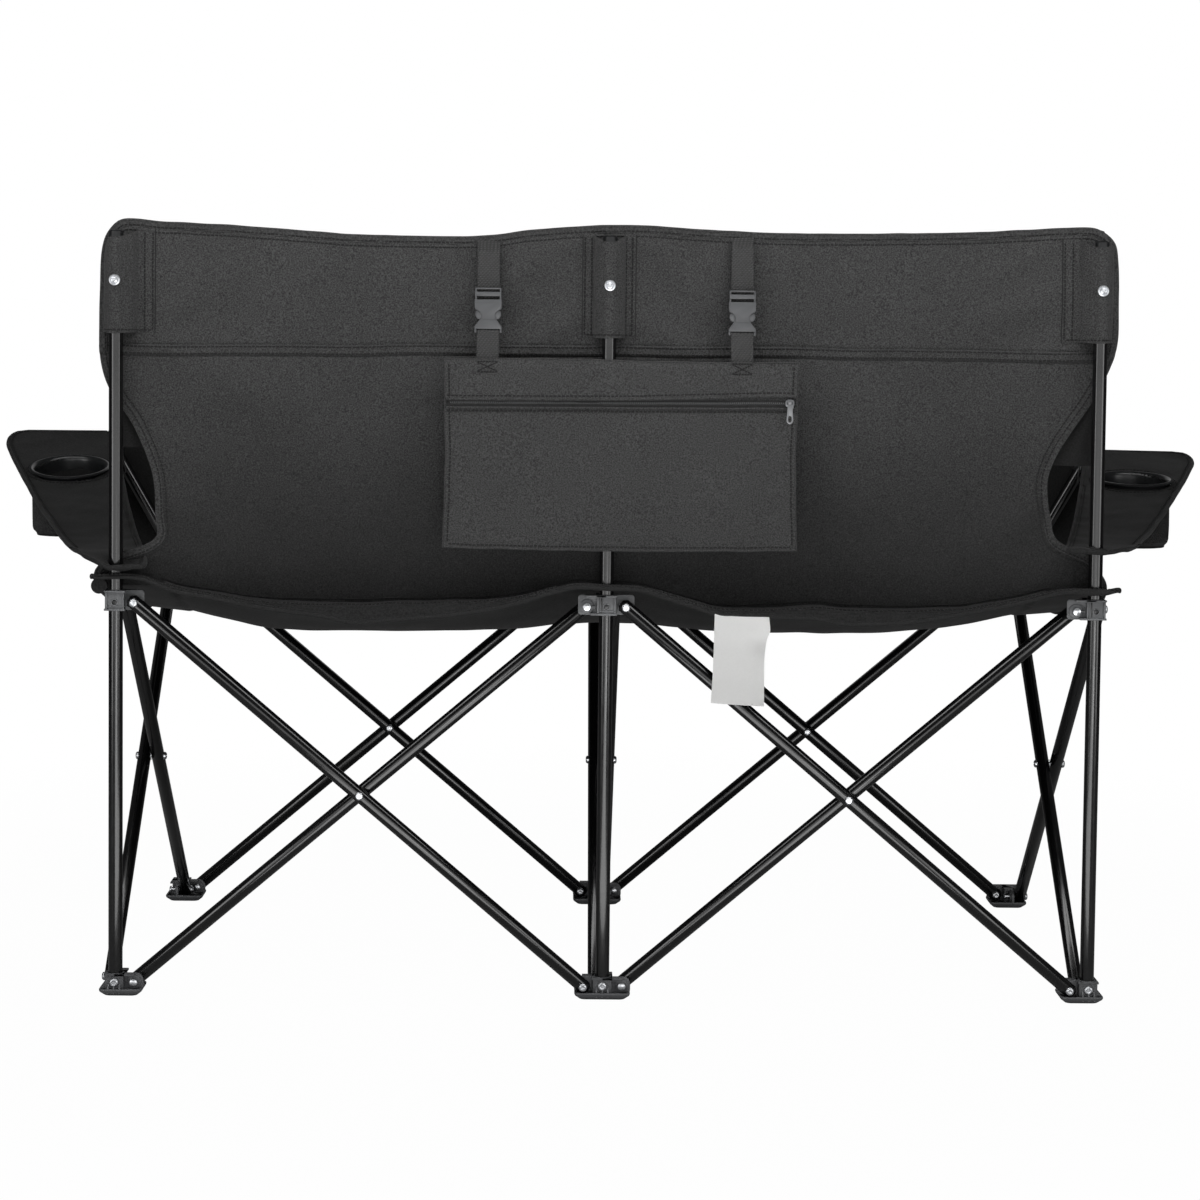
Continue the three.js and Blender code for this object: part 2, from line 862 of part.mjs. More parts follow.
function seatDrop( x, y ) {

	const wave = Math.sin( Math.PI * freeShare( rowDistance - Math.abs( y ) ) );
	const side = x / postSpacing;
	const middle = seatMiddleSag - seatSideEase * side * side;
	return seatHemSag * dipAt( x ) * ( 1 - seatHemFade * wave ) + middle * Math.pow( wave, seatSagPower );

}

function seatPanelGeometry( row ) {

	const sign = rowPlaces[ row ];
	const pointAt = ( u, v ) => {

		const y = sign * THREE.MathUtils.lerp( runningGap / 2, rowDistance + seatEndReach, v );
		const depth = THREE.MathUtils.clamp( Math.abs( y ) / rowDistance, 0, 1 );
		const half = postSpacing + seatOverReach - seatSideCurve * Math.cos( depth * Math.PI / 2 );
		const x = THREE.MathUtils.lerp( - half, half, u );
		return [ x, y, seatHeight - seatDrop( x, y ) ];

	};
	let panel = solidOf( sheet( seatColumns, seatRows, pointAt, seatThickness ) );
	const tall = seatHemSag + seatMiddleSag;
	for ( const place of Object.values( columnPlaces ) ) {

		const [ x, y ] = [ place * postSpacing, sign * rowDistance ];
		if ( row === 'rear' ) {

			const eyelet = rod( eyeletRadius, seatHeight - tall, seatHeight + tall, eyeletSides ).translate( x, y, 0 );
			panel = panel.subtract( solidOf( eyelet ) );

		} else if ( place !== 0 ) {

			const reach = armFrontHeight - seatHeight;
			const opening = leanToArm( rod( blockHalf + clothClearance, 0, reach, eyeletSides ), place );
			panel = panel.subtract( solidOf( opening.translate( x, y, hubPivotHeight ) ) );

		}

	}

	return geometryOf( panel );

}

// Back panel: a flat outline in front of the posts, with a sleeve sewn round the top of each post
const backRear = rowDistance - tubeRadius - clothClearance;
const backBottom = seatHeight + seatThickness + backHemLift;

function backOutline() {

	const height = backTop - backBottom;
	const side = backSideShares.map( ( [ outward, up ] ) => new THREE.Vector2(
		postSpacing * ( 1 + outward ), backBottom + height * up ) );
	const half = side[ 0 ].x;
	const smooth = new THREE.SplineCurve( side ).getPoints( 2 * backSideShares.length );
	const topHalf = side[ side.length - 1 ].x - backTopDip;
	const bottom = [];
	const top = [];
	for ( let step = 0; step <= backEdgeSteps; step ++ ) {

		const share = 2 * step / backEdgeSteps - 1;
		bottom.push( new THREE.Vector2( half * share, backBottom - seatHemSag * dipAt( half * share ) ) );
		top.push( new THREE.Vector2( - topHalf * share, backTop - backTopDip * dipAt( topHalf * share ) ) );

	}

	const mirrored = smooth.toReversed().map( ( p ) => new THREE.Vector2( - p.x, p.y ) );
	return [ ...bottom, ...smooth, ...top, ...mirrored ];

}

function sleeveGeometry( place ) {

	const inner = place === 0 ? sleeveMiddle : sleeveInner;
	const outer = place === 0 ? sleeveMiddle : sleeveOuter;
	const [ left, right ] = place < 0 ? [ - outer, inner ] : [ - inner, outer ];
	const face = rowDistance + tubeRadius + clothClearance + sleeveCloth;
	const front = backRear - backThickness / 2;
	const hem = backRear + sleeveCloth;
	const outline = [
		[ left, front ], [ right, front ], [ right, hem ], [ sleeveShoulder, face ], [ - sleeveShoulder, face ], [ left, hem ]
	].map( ( [ x, y ] ) => new THREE.Vector2( x, y ) );
	return prism( outline, sleeveBottom, postTop + runningGap + sleeveRoof ).translate( place * postSpacing, 0, 0 );

}

function backPanelGeometry() {

	let panel = solidOf( upright( backOutline(), backRear - backThickness, backRear ) );
	for ( const place of Object.values( columnPlaces ) ) {

		const x = place * postSpacing;
		const bore = rod( tubeRadius + clothClearance, backBottom - seatHemSag, postTop + runningGap, tubeSides );
		const hole = rod( rivetHoleRadius, 0, postSpacing, rivetSides ).rotateX( - Math.PI / 2 );
		panel = panel.add( solidOf( sleeveGeometry( place ) ) );
		panel = panel.subtract( solidOf( bore.translate( x, rowDistance, 0 ) ) );
		panel = panel.subtract( solidOf( hole.translate( x, rowDistance, studHeight ) ) );

	}

	return geometryOf( panel );

}

// Arm rests: a strip from over the arm post back to an eyelet round the rear post
const armFront = - rowDistance - armEndReach;
const armRear = rowDistance + armEndReach;
const armLength = armRear - armFront;
const cupY = armFront + cupFromFront;

function armHeightAt( y ) {

	const depth = THREE.MathUtils.clamp( ( y - armFront ) / armLength, 0, 1 );
	return armRearHeight + ( armFrontHeight - armRearHeight ) * Math.pow( 1 - depth, armFall );

}

function armSlopeAt( y ) {

	const depth = ( y - armFront ) / armLength;
	return - armFall * ( armFrontHeight - armRearHeight ) / armLength * Math.pow( 1 - depth, armFall - 1 );

}

// The arm cloth's front tongue runs down before the arm post to the seat's corner
function armTongueGeometry( side ) {

	const rear = - rowDistance - armCapRadius - clothClearance - armPocketCloth;
	const low = seatHeight + seatThickness + clothClearance;
	const high = armHeightAt( rear ) + armThickness / 2;
	const outline = [
		[ - tongueFootInner, low ], [ tongueFootOuter, low ], [ tongueTopOuter, high ], [ tongueTopInner, high ]
	].map( ( [ outward, z ] ) => new THREE.Vector2( side * ( postSpacing + outward ), z ) );
	if ( side < 0 ) outline.reverse();
	return upright( outline, rear - tongueThickness, rear );

}

function armPanelGeometry( side ) {

	const pointAt = ( u, v ) => {

		const y = armFront + armLength * v;
		const inner = THREE.MathUtils.lerp( armFrontInner, - armRearInner, v );
		const corner = Math.sqrt( Math.max( 0, 1 - Math.pow( 1 - Math.min( 1, v / armCornerShare ), 2 ) ) );
		const fullOuter = THREE.MathUtils.lerp( armFrontOuter, armRearOuter, v );
		const outer = fullOuter - ( armFrontOuter - armFrontInner ) * armCornerShare * ( 1 - corner );
		return [ side * ( postSpacing + THREE.MathUtils.lerp( inner, outer, u ) ), y, armHeightAt( y ) ];

	};
	const tall = armFrontHeight - armRearHeight;
	const cupHole = rod( cupHoleRadius, armRearHeight - tall, armFrontHeight + tall, cupSides );
	const eyelet = rod( eyeletRadius, armRearHeight - tall, armRearHeight + tall, eyeletSides );
	const capEnd = armPostEnd() + armCapHeight;
	const capRoom = armCapRadius + clothClearance;
	const pocket = rod( capRoom + armPocketCloth, capEnd - armPocketDepth, capEnd + armPostClearance + armPocketCloth, tubeSides );
	const room = rod( capRoom, capEnd - armPocketDepth - cutOverrun, capEnd + clothClearance, tubeSides );
	for ( const geometry of [ pocket, room ] ) leanToArm( geometry, side ).translate( side * postSpacing, - rowDistance, hubPivotHeight );
	const panel = solidOf( sheet( armColumns, armRows, pointAt, armThickness ) )
		.add( solidOf( pocket ) )
		.add( solidOf( armTongueGeometry( side ) ) )
		.subtract( solidOf( room ) )
		.subtract( solidOf( cupHole.translate( side * ( postSpacing + cupFromPost ), cupY, 0 ) ) )
		.subtract( solidOf( eyelet.translate( side * postSpacing, rowDistance, 0 ) ) );
	return geometryOf( panel );

}

function cupRimGeometry() {

	const shoulder = cupRimRadius - cupRimEase;
	return revolved( [
		[ cupInnerRadius, - cupNeckDepth ], [ cupNeckRadius, - cupNeckDepth ], [ cupNeckRadius, 0 ], [ cupRimRadius, 0 ],
		[ cupRimRadius, cupRimEdge ], [ shoulder, cupRimHeight ], [ cupInnerRadius, cupRimHeight ], [ cupInnerRadius, - cupNeckDepth ]
	], cupSides );

}

// The mesh pocket hangs plumb: its top edge is sheared to the slope of the arm, its base is level
function cupPocketGeometry() {

	const top = - runningGap;
	const bottom = - pocketDepth;
	const mouth = cupNeckRadius + 2 * runningGap;
	const base = pocketBaseRadius;
	const geometry = revolved( [
		[ 0, bottom ], [ base, bottom ], [ mouth + pocketWall, top ], [ mouth, top ], [ base - pocketWall, bottom + pocketWall ], [ 0, bottom + pocketWall ]
	], cupSides );
	const slope = armSlopeAt( cupY );
	const position = geometry.attributes.position;
	for ( let i = 0; i < position.count; i ++ ) {

		const share = ( position.getZ( i ) - bottom ) / ( top - bottom );
		position.setZ( i, position.getZ( i ) + slope * position.getY( i ) * share );

	}

	return geometry;

}

function buildArms() {

	const rim = geometryOf( solidOf( cupRimGeometry() ) );
	const pocket = geometryOf( solidOf( cupPocketGeometry() ) );
	const cupHeight = armHeightAt( cupY );
	for ( const column of [ 'left', 'right' ] ) {

		const side = columnPlaces[ column ];
		const cupX = side * ( postSpacing + cupFromPost );
		addPiece( `${ column }_arm_panel`, armPanelGeometry( side ), 'seatCloth' );
		const ring = addPiece( `${ column }_cup_rim`, rim, 'acetal' );
		ring.position.set( cupX, cupY, cupHeight + armThickness + cupRimLift );
		ring.rotation.x = Math.atan( armSlopeAt( cupY ) );
		addPiece( `${ column }_cup_pocket`, pocket, 'mesh' ).position.set( cupX, cupY, cupHeight );

	}

}

// The storage bag hangs behind the centre post by two straps from the rear face of the back
const bagFront = rowDistance + tubeRadius + clothClearance;
const bagFace = bagFront + bagThickness;
const strapFront = backRear + runningGap;

function buildBag() {

	const outline = roundedRectangle(
		- bagWidth / 2 + bagEdge, bagWidth / 2 - bagEdge, bagBottom + bagEdge, bagTop - bagEdge, bagCornerRadius, bagCornerSteps );
	const bag = new THREE.ExtrudeGeometry( new THREE.Shape( outline ), {
		depth: bagThickness - 2 * bagEdge, bevelThickness: bagEdge, bevelSize: bagEdge, bevelSegments: bagEdgeSteps
	} ).rotateX( Math.PI / 2 ).translate( bagShift, bagFace - bagEdge, 0 );
	addPiece( 'storage_bag', geometryOf( solidOf( bag ) ), 'backCloth' );

	const zipEnd = bagShift - bagWidth / 2 + zipInset;
	const seat = bagFace + runningGap;
	const stop = block( [ - stopWidth / 2, 0, - stopHeight / 2 ], [ stopWidth / 2, stopThickness, stopHeight / 2 ] );
	addPiece( 'zip_stop', geometryOf( solidOf( stop ) ), 'zincPlate' ).position.set( zipEnd, seat, zipHeight );

	const sliderX = zipEnd + stopWidth / 2 + runningGap + sliderLength / 2;
	const slider = addPiece( 'zip_slider', zipSliderGeometry(), 'zincPlate' );
	slider.position.set( sliderX, seat, zipHeight );
	const pull = addPiece( 'zip_pull', zipPullGeometry(), 'zincPlate' );
	const pullY = seat + ( sliderThickness + bridgeTop - bridgeBar ) / 2;
	pull.position.set( sliderX, pullY, zipHeight );

}

// The slider's body, with an arched bridge that the pull's bar runs under
function zipSliderGeometry() {

	const corner = sliderHeight / 4;
	const outline = roundedRectangle(
		- sliderLength / 2, sliderLength / 2, - sliderHeight / 2, sliderHeight / 2, corner, blockCornerSteps );
	const body = solidOf( upright( outline, 0, sliderThickness ) );
	const half = bridgeWidth / 2;
	const inner = bridgeHalfSpan - bridgeBar;
	const bar = solidOf( block( [ - half, bridgeTop - bridgeBar, - bridgeHalfSpan ], [ half, bridgeTop, bridgeHalfSpan ] ) );
	const upperLeg = solidOf( block( [ - half, 0, inner ], [ half, bridgeTop, bridgeHalfSpan ] ) );
	const lowerLeg = solidOf( block( [ - half, 0, - bridgeHalfSpan ], [ half, bridgeTop, - inner ] ) );
	return geometryOf( joined( body, bar, upperLeg, lowerLeg ) );

}

// The pull hangs on a bar under the bridge: two arms pass beside the bridge to a slotted grip
function zipPullGeometry() {

	const half = pullThickness / 2;
	const armInner = bridgeWidth / 2 + runningGap;
	const armOuter = armInner + pullArmWidth;
	const outline = roundedRectangle( - armOuter, armOuter, - pullLength, half, half, blockCornerSteps );
	const plate = solidOf( upright( outline, - half, half ) );
	const eye = block( [ - armInner, - cutOverrun, - pullArmLength ], [ armInner, cutOverrun, - half ] );
	const slotTop = pullEdge - pullLength + pullLength * pullSlotShare;
	const slot = block( [ - armInner, - cutOverrun, pullEdge - pullLength ], [ armInner, cutOverrun, slotTop ] );
	return geometryOf( plate.subtract( solidOf( eye ) ).subtract( solidOf( slot ) ) );

}

// The socket of a buckle: a ladder for the upper strap, and a mouth with side windows for the clip
function buckleSocketGeometry() {

	const half = buckleWidth / 2;
	const deep = buckleThickness;
	const corner = buckleWall;
	const body = solidOf( upright( roundedRectangle( - half, half, - socketLength, 0, corner, blockCornerSteps ), 0, deep ) );
	const slotHalf = strapWidth / 2 + clipPlay;
	const ladderTop = - ( ladderLength - ladderSlot ) / 2;
	const slot = block( [ - slotHalf, - cutOverrun, ladderTop - ladderSlot ], [ slotHalf, deep + cutOverrun, ladderTop ] );
	const mouth = block(
		[ - half + buckleWall, buckleWall, - socketLength - cutOverrun ], [ half - buckleWall, deep - buckleWall, - ladderLength ] );
	const windowBottom = windowLift - socketLength;
	const windows = [ - 1, 1 ].map( ( side ) => {

		const [ a, b ] = [ side * ( half - windowDepth ), side * ( half + cutOverrun ) ];
		return block(
			[ Math.min( a, b ), - cutOverrun, windowBottom ], [ Math.max( a, b ), deep + cutOverrun, windowBottom + windowHeight ] );

	} );
	return geometryOf( [ slot, mouth, ...windows ].reduce( ( rest, cut ) => rest.subtract( solidOf( cut ) ), body ) );

}

// The clip: a base with a slot for the lower strap, a middle guide and two springy prongs
function buckleClipGeometry() {

	const half = buckleWidth / 2;
	const inner = half - buckleWall - clipPlay;
	const deep = buckleThickness;
	const [ front, rear ] = [ buckleWall + clipPlay, deep - buckleWall - clipPlay ];
	const base = solidOf( upright( roundedRectangle( - half, half, - clipBaseLength, 0, buckleWall, blockCornerSteps ), 0, deep ) );
	const slotTop = - ( clipBaseLength - clipSlot ) / 2;
	const slotHalf = strapWidth / 2 + clipPlay;
	const slot = solidOf( block( [ - slotHalf, - cutOverrun, slotTop - clipSlot ], [ slotHalf, deep + cutOverrun, slotTop ] ) );
	const guide = solidOf( block( [ - guideWidth / 2, front, - buckleWall ], [ guideWidth / 2, rear, prongReach ] ) );
	const prongs = [ - 1, 1 ].map( ( side ) => {

		const [ a, b ] = [ side * ( inner - prongWidth ), side * inner ];
		const waist = side * ( inner - prongGap );
		const points = [ [ a, - buckleWall ], [ waist, - buckleWall ], [ b, windowLift ], [ b, prongReach - prongWidth ], [ a, prongReach ] ];
		const outline = points.map( ( [ x, z ] ) => new THREE.Vector2( x, z ) );
		return solidOf( upright( side > 0 ? outline : outline.reverse(), front, rear ) );

	} );
	return geometryOf( joined( base, guide, ...prongs ).subtract( slot ) );

}

// The lower strap leaves the clip and slopes down to the inner side of the bag, where it is sewn on
function lowerStrapGeometry( start ) {

	const near = strapFront;
	const far = bagFront - strapThickness - runningGap;
	const line = [ [ near, start ], [ near, start - lowerStrapTuck / 2 ], [ far, bagTop ], [ far, bagTop - lowerStrapTuck ] ];
	const outer = line.map( ( [ y, z ] ) => [ y + strapThickness, z ] ).reverse();
	const outline = [ ...line, ...outer ].map( ( [ y, z ] ) => new THREE.Vector2( y, z ) );
	const strap = prism( outline, - strapWidth / 2, strapWidth / 2 );
	strap.applyMatrix4( new THREE.Matrix4().makeBasis(
		new THREE.Vector3( 0, 1, 0 ), new THREE.Vector3( 0, 0, 1 ), new THREE.Vector3( 1, 0, 0 ) ) );
	return geometryOf( solidOf( strap ) );

}

function buildStraps() {

	const socket = buckleSocketGeometry();
	const clip = buckleClipGeometry();
	const upperBottom = buckleTop - strapTuck;
	const upper = solidOf( block(
		[ - strapWidth / 2, strapFront, upperBottom ], [ strapWidth / 2, strapFront + strapThickness, strapTop ] ) );
	const buckleFront = strapFront + strapThickness + runningGap;
	const clipTop = buckleTop - socketLength - runningGap;
	const lower = lowerStrapGeometry( clipTop - clipBaseLength / 2 );
	for ( const column of [ 'left', 'right' ] ) {

		const x = columnPlaces[ column ] * strapPlace + strapShift;
		addPiece( `${ column }_upper_strap`, geometryOf( upper ), 'webbing' ).position.x = x;
		addPiece( `${ column }_buckle_socket`, socket, 'acetal' ).position.set( x, buckleFront, buckleTop );
		addPiece( `${ column }_buckle_clip`, clip, 'acetal' ).position.set( x, buckleFront, clipTop );
		addPiece( `${ column }_lower_strap`, lower, 'webbing' ).position.x = x;

	}

}

function buildTag() {

	const rear = rowDistance + seatEndReach;
	const [ left, right ] = [ tagPlace - tagWidth / 2, tagPlace + tagWidth / 2 ];
	const [ topLeft, top, topRight ] = [ left, tagPlace, right ].map( ( x ) => seatHeight - seatDrop( x, rowDistance ) - tagDrop );
	const corners = [ [ left, top - tagLength ], [ right, top - tagLength ], [ right, topRight ], [ left, topLeft ] ];
	const outline = corners.map( ( [ x, z ] ) => new THREE.Vector2( x, z ) );
	addPiece( 'care_tag', upright( outline, rear - tagThickness, rear ), 'tagCloth' );

}

buildFeetAndHubs();
buildPosts();
buildScissors();
addPiece( 'seat_rear_panel', seatPanelGeometry( 'rear' ), 'seatCloth' );
addPiece( 'seat_front_panel', seatPanelGeometry( 'front' ), 'seatCloth' );
addPiece( 'back_panel', backPanelGeometry(), 'backCloth' );
buildArms();
buildBag();
buildStraps();
buildTag();

export default chair;
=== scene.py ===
import json
import math
import bpy
from mathutils import Matrix, Vector, noise


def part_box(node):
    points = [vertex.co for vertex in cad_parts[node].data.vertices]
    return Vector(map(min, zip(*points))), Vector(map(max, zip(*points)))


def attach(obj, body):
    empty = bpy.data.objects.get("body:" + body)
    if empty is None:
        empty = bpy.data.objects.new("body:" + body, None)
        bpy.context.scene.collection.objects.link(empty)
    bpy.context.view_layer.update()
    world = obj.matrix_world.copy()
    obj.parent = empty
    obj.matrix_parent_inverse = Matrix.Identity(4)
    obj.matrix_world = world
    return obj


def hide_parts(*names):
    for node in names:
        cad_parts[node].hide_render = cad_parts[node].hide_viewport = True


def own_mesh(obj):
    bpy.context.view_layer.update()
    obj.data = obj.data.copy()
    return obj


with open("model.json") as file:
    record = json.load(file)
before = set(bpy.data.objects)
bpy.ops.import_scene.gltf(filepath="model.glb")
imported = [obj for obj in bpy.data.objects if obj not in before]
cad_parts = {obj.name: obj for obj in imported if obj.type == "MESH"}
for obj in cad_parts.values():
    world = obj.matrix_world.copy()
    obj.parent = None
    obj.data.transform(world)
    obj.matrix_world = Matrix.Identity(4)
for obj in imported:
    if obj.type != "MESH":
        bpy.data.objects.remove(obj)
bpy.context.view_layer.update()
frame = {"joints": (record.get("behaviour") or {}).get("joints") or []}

MM = 0.001
UP = Vector((0, 0, 1))
RIGHTWARD = Vector((1, 0, 0))
REARWARD = Vector((0, 1, 0))

# Sizes shared with the model, in millimetres
joint_at = {joint["name"]: Vector(joint["pos_m"]) / MM for joint in frame["joints"] if "pos_m" in joint}
PIVOT_INSET = joint_at["fold"].x
POST_SPACING = joint_at["top_rear_left"].x + PIVOT_INSET
ROW = joint_at["fold"].y
FOOT_PIVOT = joint_at["fold"].z
HUB_PIVOT = joint_at["top_rear_left"].z
POST_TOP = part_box("rear_left_post")[1].z / MM
TUBE_RADIUS = 8.0
STRUT_OFFSET = 8.3
COLUMN_X = {"left": POST_SPACING, "centre": 0.0, "right": -POST_SPACING}
ROW_Y = {"rear": ROW, "front": -ROW}
REAR_BODY = {"left": "rear_left_leg", "centre": "rear_centre_leg", "right": "rear_right_leg"}
SIDE_OF = {"left": 1, "right": -1}
ARM_LEAN = math.radians(29.6)
STUD_HEIGHT = 810.0
SHANK_RADIUS = 2.6


def spread(first, last, count):
    """Values from first to last in as many equal steps."""
    return [first + (last - first) * k / count for k in range(count + 1)]


# ---- Finishes ----
def linear(code):
    """An sRGB hex colour as linear red, green, blue and alpha."""
    shares = [int(code[i:i + 2], 16) / 255 for i in (1, 3, 5)]
    return [s / 12.92 if s <= 0.04045 else ((s + 0.055) / 1.055) ** 2.4 for s in shares] + [1.0]


def node(tree, kind, inputs=None, **settings):
    """Adds a node; an input is a value, or another node's socket to link from."""
    made = tree.nodes.new(kind)
    for name, value in settings.items():
        setattr(made, name, value)
    for name, value in (inputs or {}).items():
        socket = made.inputs[name]
        if isinstance(value, bpy.types.NodeSocket):
            tree.links.new(value, socket)
        else:
            socket.default_value = value
    return made


def wire(tree, shader, colour=None, roughness=None, bump=None):
    """Links what is given to the shader's own sockets."""
    for socket, source in (("Base Color", colour), ("Roughness", roughness), ("Normal", bump)):
        if source:
            tree.links.new(source.outputs["Normal" if source is bump else "Result"], shader.inputs[socket])


def finish(name, colour, roughness, **settings):
    """A new material: its tree, its Principled shader and its rest-place coordinates."""
    material = bpy.data.materials.new(name)
    material.use_nodes = True
    tree = material.node_tree
    shader = tree.nodes["Principled BSDF"]
    shader.inputs["Base Color"].default_value = linear(colour)
    shader.inputs["Roughness"].default_value = roughness
    for socket, value in settings.items():
        shader.inputs[socket.replace("_", " ")].default_value = value
    place = node(tree, "ShaderNodeTexCoord").outputs["Object"]
    return material, tree, shader, place


MULTIPLIED = {"data_type": "RGBA", "blend_type": "MULTIPLY"}


def woven(name, colour, dark, light, thread, height, painted_low_shade=None):
    """Plain-woven polyester, matt: flecks as large as its drawn threads, slow uneven fading, and, where asked, painted
    shade that darkens it toward the seat.
    """
    material, tree, shader, place = finish(
        name, colour, 0.9, Sheen_Weight=0.06, Sheen_Roughness=0.5, Specular_IOR_Level=0.25)
    fleck = node(tree, "ShaderNodeTexNoise",
                 {"Vector": place, "Scale": 1.0 / (thread * MM), "Detail": 2.0, "Roughness": 0.6})
    fade = node(tree, "ShaderNodeTexNoise", {"Vector": place, "Scale": 7.0, "Detail": 3.0})
    tone = node(tree, "ShaderNodeMapRange", {"Value": fleck.outputs["Fac"], "From Min": 0.3, "From Max": 0.7})
    yarn = node(tree, "ShaderNodeMix",
                {"Factor": tone.outputs["Result"], "A": linear(dark), "B": linear(light)}, data_type="RGBA")
    toned = node(tree, "ShaderNodeMapRange",
                {"Value": fade.outputs["Fac"], "From Min": 0.3, "From Max": 0.7, "To Min": 0.92, "To Max": 1.08})
    shade = node(tree, "ShaderNodeMix",
                 {"Factor": 1.0, "A": yarn.outputs["Result"], "B": toned.outputs["Result"]}, **MULTIPLIED)
    if painted_low_shade:
        # Painted shade: the cloth is darkened toward the seat, below its full tone 740 mm up, for the shade that falls
        # on the back's lower part
        apart = node(tree, "ShaderNodeSeparateXYZ", {"Vector": place})
        deep = node(tree, "ShaderNodeMapRange",
                    {"Value": apart.outputs["Z"], "From Min": 0.42, "From Max": 0.74, "To Min": painted_low_shade},
                    interpolation_type="SMOOTHSTEP")
        shade = node(tree, "ShaderNodeMix",
                     {"Factor": 1.0, "A": shade.outputs["Result"], "B": deep.outputs["Result"]}, **MULTIPLIED)
    bump = node(tree, "ShaderNodeBump", {"Height": fleck.outputs["Fac"], "Strength": 0.35, "Distance": height * MM})
    wire(tree, shader, colour=shade, bump=bump)
    return material


def powder_coated_steel():
    """Powder coat over steel tube: smooth black with a faint orange peel that breaks up the gloss."""
    material, tree, shader, place = finish(
        "powder_coated_steel", "#0a0a0b", 0.2, IOR=1.5, Coat_Weight=0.4, Coat_Roughness=0.08)
    peel = node(tree, "ShaderNodeTexNoise", {"Vector": place, "Scale": 700.0, "Detail": 2.0})
    rub = node(tree, "ShaderNodeTexNoise", {"Vector": place, "Scale": 35.0, "Detail": 5.0, "Roughness": 0.7})
    gloss = node(tree, "ShaderNodeMapRange",
                 {"Value": rub.outputs["Fac"], "From Min": 0.35, "From Max": 0.7, "To Min": 0.15, "To Max": 0.26})
    bump = node(tree, "ShaderNodeBump", {"Height": peel.outputs["Fac"], "Strength": 0.03, "Distance": 0.05 * MM})
    wire(tree, shader, roughness=gloss, bump=bump)
    return material


def moulded_nylon(name, dark, light):
    """Glass-filled nylon, injection moulded: dark grey, fine spark-eroded texture, and paler along its sharp convex
    edges.
    """
    material, tree, shader, place = finish(name, dark, 0.5, IOR=1.53)
    grit = node(tree, "ShaderNodeTexNoise", {"Vector": place, "Scale": 1400.0, "Detail": 3.0})
    mottle = node(tree, "ShaderNodeTexNoise", {"Vector": place, "Scale": 90.0, "Detail": 4.0})
    tone = node(tree, "ShaderNodeMix",
                {"Factor": mottle.outputs["Fac"], "A": linear(dark), "B": linear(light)}, data_type="RGBA")
    edge = node(tree, "ShaderNodeNewGeometry")
    paler_edge = node(tree, "ShaderNodeMapRange",
                  {"Value": edge.outputs["Pointiness"], "From Min": 0.52, "From Max": 0.6, "To Max": 0.5})
    toned = node(tree, "ShaderNodeMix",
                {"Factor": paler_edge.outputs["Result"], "A": tone.outputs["Result"], "B": linear("#8a8b8e")},
                data_type="RGBA")
    bump = node(tree, "ShaderNodeBump", {"Height": grit.outputs["Fac"], "Strength": 0.25, "Distance": 0.12 * MM})
    wire(tree, shader, colour=toned, bump=bump)
    return material


def zinc_plate():
    """Bright zinc plate on steel rivets: pale metal, slightly blue, with light tumbling scratches."""
    material, tree, shader, place = finish("zinc_plate", "#d9dbde", 0.25, Metallic=1.0)
    scratch = node(tree, "ShaderNodeTexNoise", {"Vector": place, "Scale": 900.0, "Detail": 4.0, "Distortion": 1.5})
    dull = node(tree, "ShaderNodeMapRange", {"Value": scratch.outputs["Fac"], "To Min": 0.2, "To Max": 0.42})
    wire(tree, shader, roughness=dull)
    return material


def moulded_plastic(name, colour, roughness):
    """Acetal, polypropylene or polyester, injection moulded: waxy and nearly smooth."""
    material, tree, shader, place = finish(name, colour, roughness, IOR=1.48)
    swirl = node(tree, "ShaderNodeTexNoise", {"Vector": place, "Scale": 500.0, "Detail": 2.0})
    bump = node(tree, "ShaderNodeBump", {"Height": swirl.outputs["Fac"], "Strength": 0.08, "Distance": 0.1 * MM})
    wire(tree, shader, bump=bump)
    return material


def webbing():
    """Polypropylene webbing: herringbone ribs 2 mm apart, drawn a little coarser so that they show."""
    material, tree, shader, place = finish("polypropylene_webbing", "#383838", 0.75, Sheen_Weight=0.08)
    slant = node(tree, "ShaderNodeTexWave",
                 {"Vector": place, "Scale": 0.314 / (2.0 * MM), "Distortion": 1.0}, bands_direction="DIAGONAL")
    rib = node(tree, "ShaderNodeTexWave",
               {"Vector": place, "Scale": 0.314 / (2.1 * MM), "Distortion": 0.0}, bands_direction="Z")
    fleck = node(tree, "ShaderNodeTexNoise", {"Vector": place, "Scale": 700.0, "Detail": 2.0})
    knit = node(tree, "ShaderNodeMath", {0: slant.outputs["Fac"], 1: rib.outputs["Fac"]}, operation="MULTIPLY")
    mixed = node(tree, "ShaderNodeMath", {0: knit.outputs[0], 1: fleck.outputs["Fac"]}, operation="ADD")
    tone = node(tree, "ShaderNodeMapRange", {"Value": mixed.outputs[0], "From Min": 0.4, "From Max": 1.3})
    yarn = node(tree, "ShaderNodeMix",
                {"Factor": tone.outputs["Result"], "A": linear("#222222"), "B": linear("#3e3e3e")},
                data_type="RGBA")
    bump = node(tree, "ShaderNodeBump", {"Height": knit.outputs[0], "Strength": 0.8, "Distance": 0.6 * MM})
    wire(tree, shader, colour=yarn, bump=bump)
    return material


def woven_label():
    """Non-woven polyester label: white, matt, with a soft fibre mottle and nothing printed on it."""
    material, tree, shader, place = finish("non_woven_label", "#e9e9e7", 0.8)
    fibre = node(tree, "ShaderNodeTexNoise", {"Vector": place, "Scale": 450.0, "Detail": 5.0, "Roughness": 0.75})
    tone = node(tree, "ShaderNodeMix",
                {"Factor": fibre.outputs["Fac"], "A": linear("#f0f0ee"), "B": linear("#fcfcfb")},
                data_type="RGBA")
    bump = node(tree, "ShaderNodeBump", {"Height": fibre.outputs["Fac"], "Strength": 0.3, "Distance": 0.15 * MM})
    wire(tree, shader, colour=tone, bump=bump)
    return material
